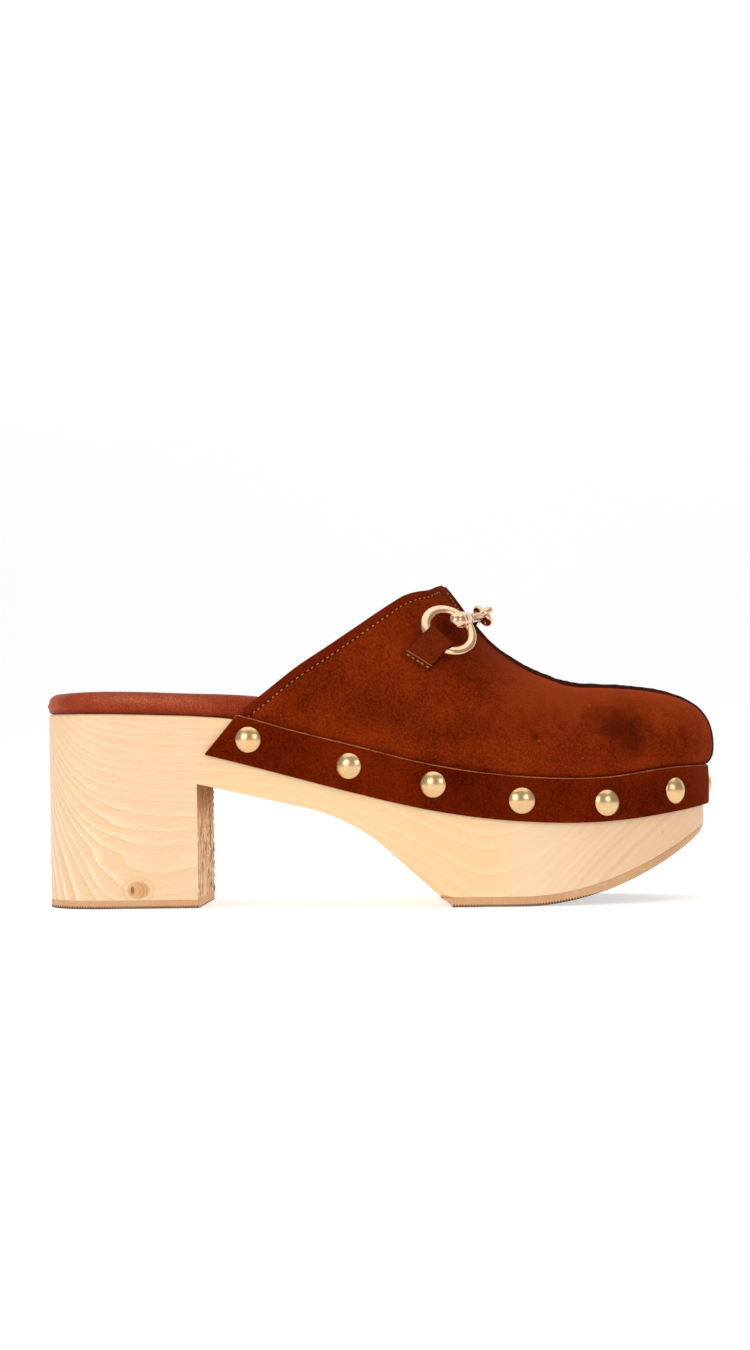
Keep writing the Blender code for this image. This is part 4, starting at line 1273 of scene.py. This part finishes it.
def dome_grid():
    """All the studs as turned rings: part of a ball, with a short skirt pressed into the band."""
    half = np.arctan2(STUD_RISE, STUD_RADIUS)
    ball = STUD_RADIUS / np.sin(2 * half)
    angle = np.linspace(2 * half, 0, STUD_RINGS)
    rise = np.append([-STUD_SUNK, -STUD_SUNK], ball * (np.cos(angle) - np.cos(2 * half)))
    radius = np.append([0, STUD_RADIUS], ball * np.sin(angle))
    turn = full_turn(STUD_SIDES)[:, None]
    upward = np.array([0, 0, 1])
    grids = []
    for side, h, share in stud_places():
        foot = curve(BAND_FOOT, h)
        z = foot + share * (curve(BAND_TOP, h) - foot)
        middle = np.append(edge(side, h, 2 * GAP + BAND_THICK), z)
        out = np.append(edge(side, h, 1.0) - edge(side, h, 0.0), 0.0)
        circle = np.cos(turn) * np.cross(upward, out) + np.sin(turn) * upward
        grids.append(middle + rise[:, None, None] * out + radius[:, None, None] * circle)
    return np.array(grids)


domes = dome_grid()
count, rows, columns = domes.shape[:3]
faces = copies(cells(rows, columns, wrap_columns=True), count, rows * columns)
stud_gold = pale_gold("stud gold", rgb(231, 192, 141), 0.27)
studs = skin("studs", domes, [faces], [stud_gold], sharp_deg=50)
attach(studs, "root")
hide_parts(*[f"stud_{number:02d}" for number in range(1, count + 1)])


# Bit: two rings of flattened polished wire, one on each side of the vamp, and two turned bars
# linked by their eyes over the seam. Each ring runs through the barrel of its bar and through its
# suede tab.

RING_AT = (152.7, 100.3)
TAB_ROOT_AT = (141.2, 88.6)
RING_RADIUS = 9.35
RING_LIFT = 3.7
WIRE_WIDE = 1.9
WIRE_THICK = 1.35
WIRE_POWER = 2.5
JOINT_H = 162.4
JOINT_UP = 5.8
EYE_RADIUS = 3.4
EYE_WIRE = 1.4
EYE_LINK = 3.7
BARREL = [
    (-10.2, 0.0), (-10.12, 0.75), (-9.9, 1.4), (-9.5, 2.05), (-9.0, 2.55), (-8.3, 3.0),
    (-7.5, 3.28), (-6.8, 3.33), (-6.0, 3.25), (-5.2, 2.95), (-4.6, 2.6), (-4.3, 2.4), (-4.1, 2.5),
    (-3.85, 2.95), (-3.3, 3.1), (0.0, 3.1), (1.6, 3.0), (3.0, 2.75), (3.9, 2.5), (4.1, 2.3),
    (4.4, 2.3), (4.7, 2.6), (5.3, 2.65), (6.0, 2.3), (6.8, 2.0),
]
NECK_END = [(0.0, 1.6), (0.4, 0.9), (0.5, 0.0)]
NECK_CLEAR = 0.3
BARREL_SIDES = 36
RING_SEGMENTS = (96, 28)
EYE_SEGMENTS = (40, 16)
STEP = 0.5


def vamp(side, h, z):
    """Point of the upper's outer face at an h and a height: the rib's formula, behind the pole."""
    sign = PLAN[side]["sign"]
    band_top = curve(BAND_TOP, h)
    up = np.clip((z - band_top) / (curve(CROWN, h) - curve(RIDGE_LIFT, h) - band_top), 0, 1)
    power = curve(ROUNDNESS, h)
    swell = curve(SWELL, h)
    pole = seam_y(h) + sign * SEAM_HALF
    span = np.abs(edge(side, h, 0.0)[..., 1] - pole)
    radius = (span + swell) * (1 - up**power) ** (1 / power)
    radius = radius - swell * np.exp(-(z - band_top) / SWELL_ROOT)
    return np.stack([h, pole + sign * radius, z], -1)


def vamp_normal(side, h, z):
    """Outward normal of that face, from small steps along and up."""
    along = vamp(side, h + STEP, z) - vamp(side, h - STEP, z)
    upward = vamp(side, h, z + STEP) - vamp(side, h, z - STEP)
    return unit(np.cross(along, upward)) * -PLAN[side]["sign"]


def ring_frame(side):
    """Middle of a ring, its axis from the tab towards the bar, its axis across, and its normal."""
    middle = vamp(side, *RING_AT)
    normal = vamp_normal(side, *RING_AT)
    along = middle - vamp(side, *TAB_ROOT_AT)
    along = unit(along - (along @ normal) * normal)
    return middle + RING_LIFT * normal, along, np.cross(normal, along), normal


def oblong(turn, wide, thick, power_wide, power_thick):
    """Superellipse: half sizes times the cosine and sine of a turn, each to its own power."""
    across, up = np.cos(turn), np.sin(turn)
    across = wide * np.sign(across) * np.abs(across) ** power_wide
    return across, thick * np.sign(up) * np.abs(up) ** power_thick


def hoop(middle, first, second, radius, wide, thick, power, around, across):
    """Ring in the plane of two axes, its wire a superellipse, wide there and thick across."""
    turn = full_turn(around)[:, None, None]
    out, up = oblong(full_turn(across)[:, None], wide, thick, 2 / power, 2 / power)
    spoke = np.cos(turn) * first + np.sin(turn) * second
    return middle + (radius + out) * spoke + up * np.cross(first, second)


def lathe(start, axis, upright, profile, around):
    """Turned shape along an axis from rows of (along, radius)."""
    along, radius = np.array(profile).T[:, :, None, None]
    turn = full_turn(around)[:, None]
    circle = np.cos(turn) * upright + np.sin(turn) * np.cross(axis, upright)
    return start + along * axis + radius * circle


def bar_grids(side):
    """Half of the bit: its turned barrel and neck, and the eye at its end."""
    middle, _, _, normal = ring_frame(side)
    fall = curve(CROWN, JOINT_H + STEP) - curve(CROWN, JOINT_H - STEP)
    ridge_normal = unit(np.array([-fall, 0.0, 2 * STEP]))
    ridge = np.array([JOINT_H, seam_y(JOINT_H), curve(CROWN, JOINT_H)])
    joint = ridge + JOINT_UP * ridge_normal
    towards = joint - middle
    start = middle + RING_RADIUS * unit(towards - (towards @ normal) * normal)
    axis = unit(joint - start)
    eye = joint - EYE_LINK / 2 * axis
    upright = unit(ridge_normal - (ridge_normal @ axis) * axis)
    end = np.linalg.norm(eye - start) - EYE_RADIUS
    profile = [row for row in BARREL if row[0] < end - NECK_CLEAR]
    profile += [(end + along, radius) for along, radius in NECK_END]
    second = upright if side == "lateral" else np.cross(axis, upright)
    barrel = lathe(start, axis, upright, profile, BARREL_SIDES)
    return barrel, hoop(eye, axis, second, EYE_RADIUS, EYE_WIRE, EYE_WIRE, 2.0, *EYE_SEGMENTS)


bit_gold = pale_gold("bit gold", rgb(238, 199, 162), 0.17)
for side in PLAN:
    middle, along, across, _ = ring_frame(side)
    wire = (WIRE_WIDE, WIRE_THICK, WIRE_POWER)
    grid = hoop(middle, along, across, RING_RADIUS, *wire, *RING_SEGMENTS)
    faces = cells(*grid.shape[:2], wrap_rows=True, wrap_columns=True)
    piece = skin(f"bit_ring_{side}", grid, [faces], [bit_gold], sharp_deg=60)
    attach(piece, "root")
    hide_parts(f"ring_{side}")
    barrel, eye = bar_grids(side)
    points = np.vstack([barrel.reshape(-1, 3), eye.reshape(-1, 3)])
    first = barrel[..., 0].size
    eye_faces = cells(*eye.shape[:2], wrap_rows=True, wrap_columns=True, first=first)
    faces = np.concatenate([cells(*barrel.shape[:2], wrap_columns=True), eye_faces])
    piece = skin(f"bit_half_{side}", points, [faces], [bit_gold], sharp_deg=50)
    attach(piece, "root")
    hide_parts(f"bit_bar_{side}")


# Ring tabs: a strap of the upper's suede folded round each ring, its two ends laid on each other
# and sewn to the vamp. The upper end stops short of the lower one, so its cut edge shows above
# the stitches.

TAB_WIDTH = 11.2
TAB_THICK = 1.1
TAB_PATH = [
    # along the tab from the ring's middle, height of the strap's middle over the vamp
    (-20.3, 0.75), (-15.6, 0.75), (-11.5, 0.75), (-8.6, 0.85), (-6.4, 1.35), (-5.1, 2.35),
    (-4.75, 3.6), (-5.2, 4.75), (-6.6, 5.7), (-8.7, 6.05), (-10.6, 5.5), (-12.2, 4.2), (-13.7, 2.9),
    (-15.4, 2.2), (-17.8, 1.9),
]
TAB_RINGS = 90
TAB_SIDES = 44
TAB_POWERS = (0.16, 0.6)
TAB_WAIST = 0.05
TAB_WAIST_AT, TAB_WAIST_HALF = -8.6, 3.5
TAB_WAVE, TAB_WAVE_LONG = 0.10, 5.0
TAB_SLANT = 1.4
TAB_SLANTS = (-11, -18)
TAB_LEVELS = (-16, -10)
TAB_STITCH_AT = -19.2
TAB_STITCH_UP = 1.3
TAB_STITCH_REACH = 0.46
TAB_STITCH = {"pitch": 2.1, "length": 1.4, "thick": 0.55}
STITCH_MARKS = 40


def on_vamp(side, along, across, lift):
    """Points over the vamp at distances along and across the tab, lifted along the vamp's normals.

    The strap's sewn ends are cut at a slant, so their upper corners reach farther down the vamp.
    Near the ring the strap leaves the vamp's curve and lies level with the ring.
    """
    slant = PLAN[side]["sign"] * TAB_SLANT * 2 * across / TAB_WIDTH
    along = along + slant * ease(along, *TAB_SLANTS)
    _, ahead, aside, square = ring_frame(side)
    mark = vamp(side, *RING_AT) + along[..., None] * ahead + across[..., None] * aside
    level = ease(along, *TAB_LEVELS)[..., None]
    at = (side, mark[..., 0], mark[..., 2])
    up = unit((1 - level) * vamp_normal(*at) + level * square)
    ground = (1 - level) * vamp(*at) + level * mark
    return ground + (GAP + lift)[..., None] * up


def tab_grid(side):
    """Strap swept along its fold: a flat superellipse for its section, set square to the path."""
    path = np.array(TAB_PATH)
    run = run_length(path)
    even = np.linspace(0, run[-1], TAB_RINGS)
    line = np.stack([curve(np.column_stack([run, path[:, i]]), even) for i in range(2)], -1)
    ahead = unit(np.gradient(line, axis=0))
    square = np.column_stack([-ahead[:, 1], ahead[:, 0]])
    aside, over = oblong(full_turn(TAB_SIDES), TAB_WIDTH / 2, TAB_THICK / 2, *TAB_POWERS)
    narrow = 1 - TAB_WAIST * bell(line[:, 0], TAB_WAIST_AT, TAB_WAIST_HALF)
    at = line[:, None] + over[None, :, None] * square[:, None]
    wave = ripple(at[:, :, 0], np.broadcast_to(aside, at.shape[:2]), TAB_WAVE_LONG, 61)
    points = on_vamp(side, at[:, :, 0], aside * narrow[:, None], at[:, :, 1] + TAB_WAVE * wave)
    return points, np.broadcast_to(np.abs(aside) * 2 / TAB_WIDTH, at.shape[:2])


def tab_marks(place, nap, colour):
    """Sides of the strap: painted shade along both of its sides."""
    # painted shade: the strap's sides darkened as if in its own shadow
    side = place.mark("from_middle") + (nap - 0.5) * 0.1
    return (side.smooth(0.90, 1.0) * 0.8).mix(colour, rgb(40, 8, 2))


finishes = [
    suede("tab suede", rgb(76, 15, 3), rgb(120, 42, 13), tab_marks),
    cut_edge("tab cut edge", rgb(170, 92, 52), rgb(232, 160, 112)),
]
for side in PLAN:
    grid, from_middle = tab_grid(side)
    rows, columns = grid.shape[:2]
    lower_end, upper_end = end_caps(rows, columns)
    blocks = [np.concatenate([cells(rows, columns, wrap_columns=True), lower_end]), upper_end]
    marks = {"from_middle": from_middle}
    piece = skin(f"tab_strap_{side}", grid, blocks, finishes, marks, sharp_deg=60)
    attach(piece, "root")
    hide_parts(f"ring_tab_{side}")
    across = np.linspace(-TAB_STITCH_REACH, TAB_STITCH_REACH, STITCH_MARKS) * TAB_WIDTH
    row, lift = (np.full(STITCH_MARKS, value) for value in (TAB_STITCH_AT, TAB_STITCH_UP))
    path = on_vamp(side, row, across, lift)
    up = vamp_normal(side, path[:, 0], path[:, 2])
    stitches(f"tab_stitches_{side}", path, up, thread, **TAB_STITCH)


# Studio: a white sheet lies on the floor and curves up behind as a lit wall. Softboxes stand in
# front to the left and right, a large one hangs above, and the room behind the camera is dim.
# The camera is low beside the shoe, a little rolled.

WHITE = (1.0, 1.0, 1.0, 1.0)
SHEET_GLOW = 0.562
SHEET_TONES = ((0.588, 0.59, 0.597, 1.0), (0.628, 0.63, 0.637, 1.0))
COVE_AT = 1.9
COVE_RADIUS = 0.6
SHEET_FRONT, SHEET_TOP, SHEET_SIDE = -3.0, 3.0, 4
ROOM_GLOW = 0.40


def cove():
    """White sheet: level floor, a quarter round and an upright wall, swept across the view."""
    angle = quarter(25)
    bend = COVE_AT + COVE_RADIUS * np.sin(angle)
    y = np.concatenate([[SHEET_FRONT, 0.0, 1.0], bend, [COVE_AT + COVE_RADIUS]])
    z = np.concatenate([[0.0, 0.0, 0.0], COVE_RADIUS * (1 - np.cos(angle)), [SHEET_TOP]])
    x = np.linspace(-SHEET_SIDE, SHEET_SIDE, 3)
    points = np.stack(np.broadcast_arrays(x[None, :], y[:, None], z[:, None]), -1)
    mesh = bpy.data.meshes.new("floor")
    faces = cells(len(y), len(x))[:, ::-1]
    mesh.from_pydata(points.reshape(-1, 3).tolist(), [], faces.tolist())
    mesh.shade_smooth()
    return mesh


floor_mesh = cove()
floor = bpy.data.objects.new("floor", floor_mesh)
bpy.context.scene.collection.objects.link(floor)
sheet_finish, sheet_shader, place = new_finish(
    "white sheet", Roughness=0.7, Specular_IOR_Level=0.2,
    Emission_Color=WHITE, Emission_Strength=SHEET_GLOW,
)
place.noise(2.0, 2.0).mix(*SHEET_TONES).feeds(sheet_shader, "Base Color")
floor_mesh.materials.append(sheet_finish)

world = bpy.data.worlds.new("studio")
world.use_nodes = True
world.node_tree.nodes["Background"].inputs["Color"].default_value = WHITE
world.node_tree.nodes["Background"].inputs["Strength"].default_value = ROOM_GLOW
bpy.context.scene.world = world

LIT_AT = (0, 0, 0.05)


def stand(holder, right, top, back, at):
    """Puts a lamp or the camera at a place in metres, by its axes to the right, up and backward."""
    axes = np.column_stack([right, top, back, at])
    holder.matrix_world = Matrix(np.vstack([axes, (0, 0, 0, 1)]).tolist())
    bpy.context.scene.collection.objects.link(holder)


def softbox(name, at, size, power):
    """Rectangular lamp at a place, turned towards the shoe."""
    lamp = bpy.data.lights.new(name, "AREA")
    lamp.shape = "RECTANGLE"
    lamp.size, lamp.size_y = size
    lamp.energy = power
    back = unit(np.subtract(at, LIT_AT))
    right = unit(np.cross((0, 0, 1), back))
    stand(bpy.data.objects.new(name, lamp), right, np.cross(back, right), back, at)


softbox("left box", (-0.76, -1.12, 0.56), (0.70, 0.70), 5.7)
softbox("right box", (0.84, -1.07, 0.56), (0.56, 0.56), 2.75)
softbox("top box", (0.0, 0.15, 1.5), (2.4, 1.8), 13.4)

CAMERA_AWAY = 1300.0
CAMERA_UP = 74.0
CAMERA_YAW = np.radians(3.0)
CAMERA_PITCH = np.radians(-0.554)
CAMERA_ROLL = np.radians(-0.840)
CAMERA_AIM_H = 124.97
FOCAL_PIXELS = 3399.6
PICTURE_HEIGHT = 1350
SENSOR = 36.0
level = np.array([np.cos(CAMERA_YAW), np.sin(CAMERA_YAW), 0.0])
away = np.array([np.sin(CAMERA_YAW), -np.cos(CAMERA_YAW), 0.0])
back = away * np.cos(CAMERA_PITCH) + np.array([0.0, 0.0, np.sin(CAMERA_PITCH)])
upright = np.cross(back, level)
right = np.cos(CAMERA_ROLL) * level + np.sin(CAMERA_ROLL) * upright
top = -np.sin(CAMERA_ROLL) * level + np.cos(CAMERA_ROLL) * upright
eye = np.array([CAMERA_AIM_H, 0.0, CAMERA_UP]) + CAMERA_AWAY * away
camera_data = bpy.data.cameras.new("camera")
camera_data.lens = FOCAL_PIXELS * SENSOR / PICTURE_HEIGHT
camera_data.sensor_width = SENSOR
camera_data.clip_end = 50.0
camera = bpy.data.objects.new("camera", camera_data)
stand(camera, right, top, back, (eye - BOX_MIDDLE) * MM)
bpy.context.scene.camera = camera
bpy.context.scene.view_settings.view_transform = "Standard"
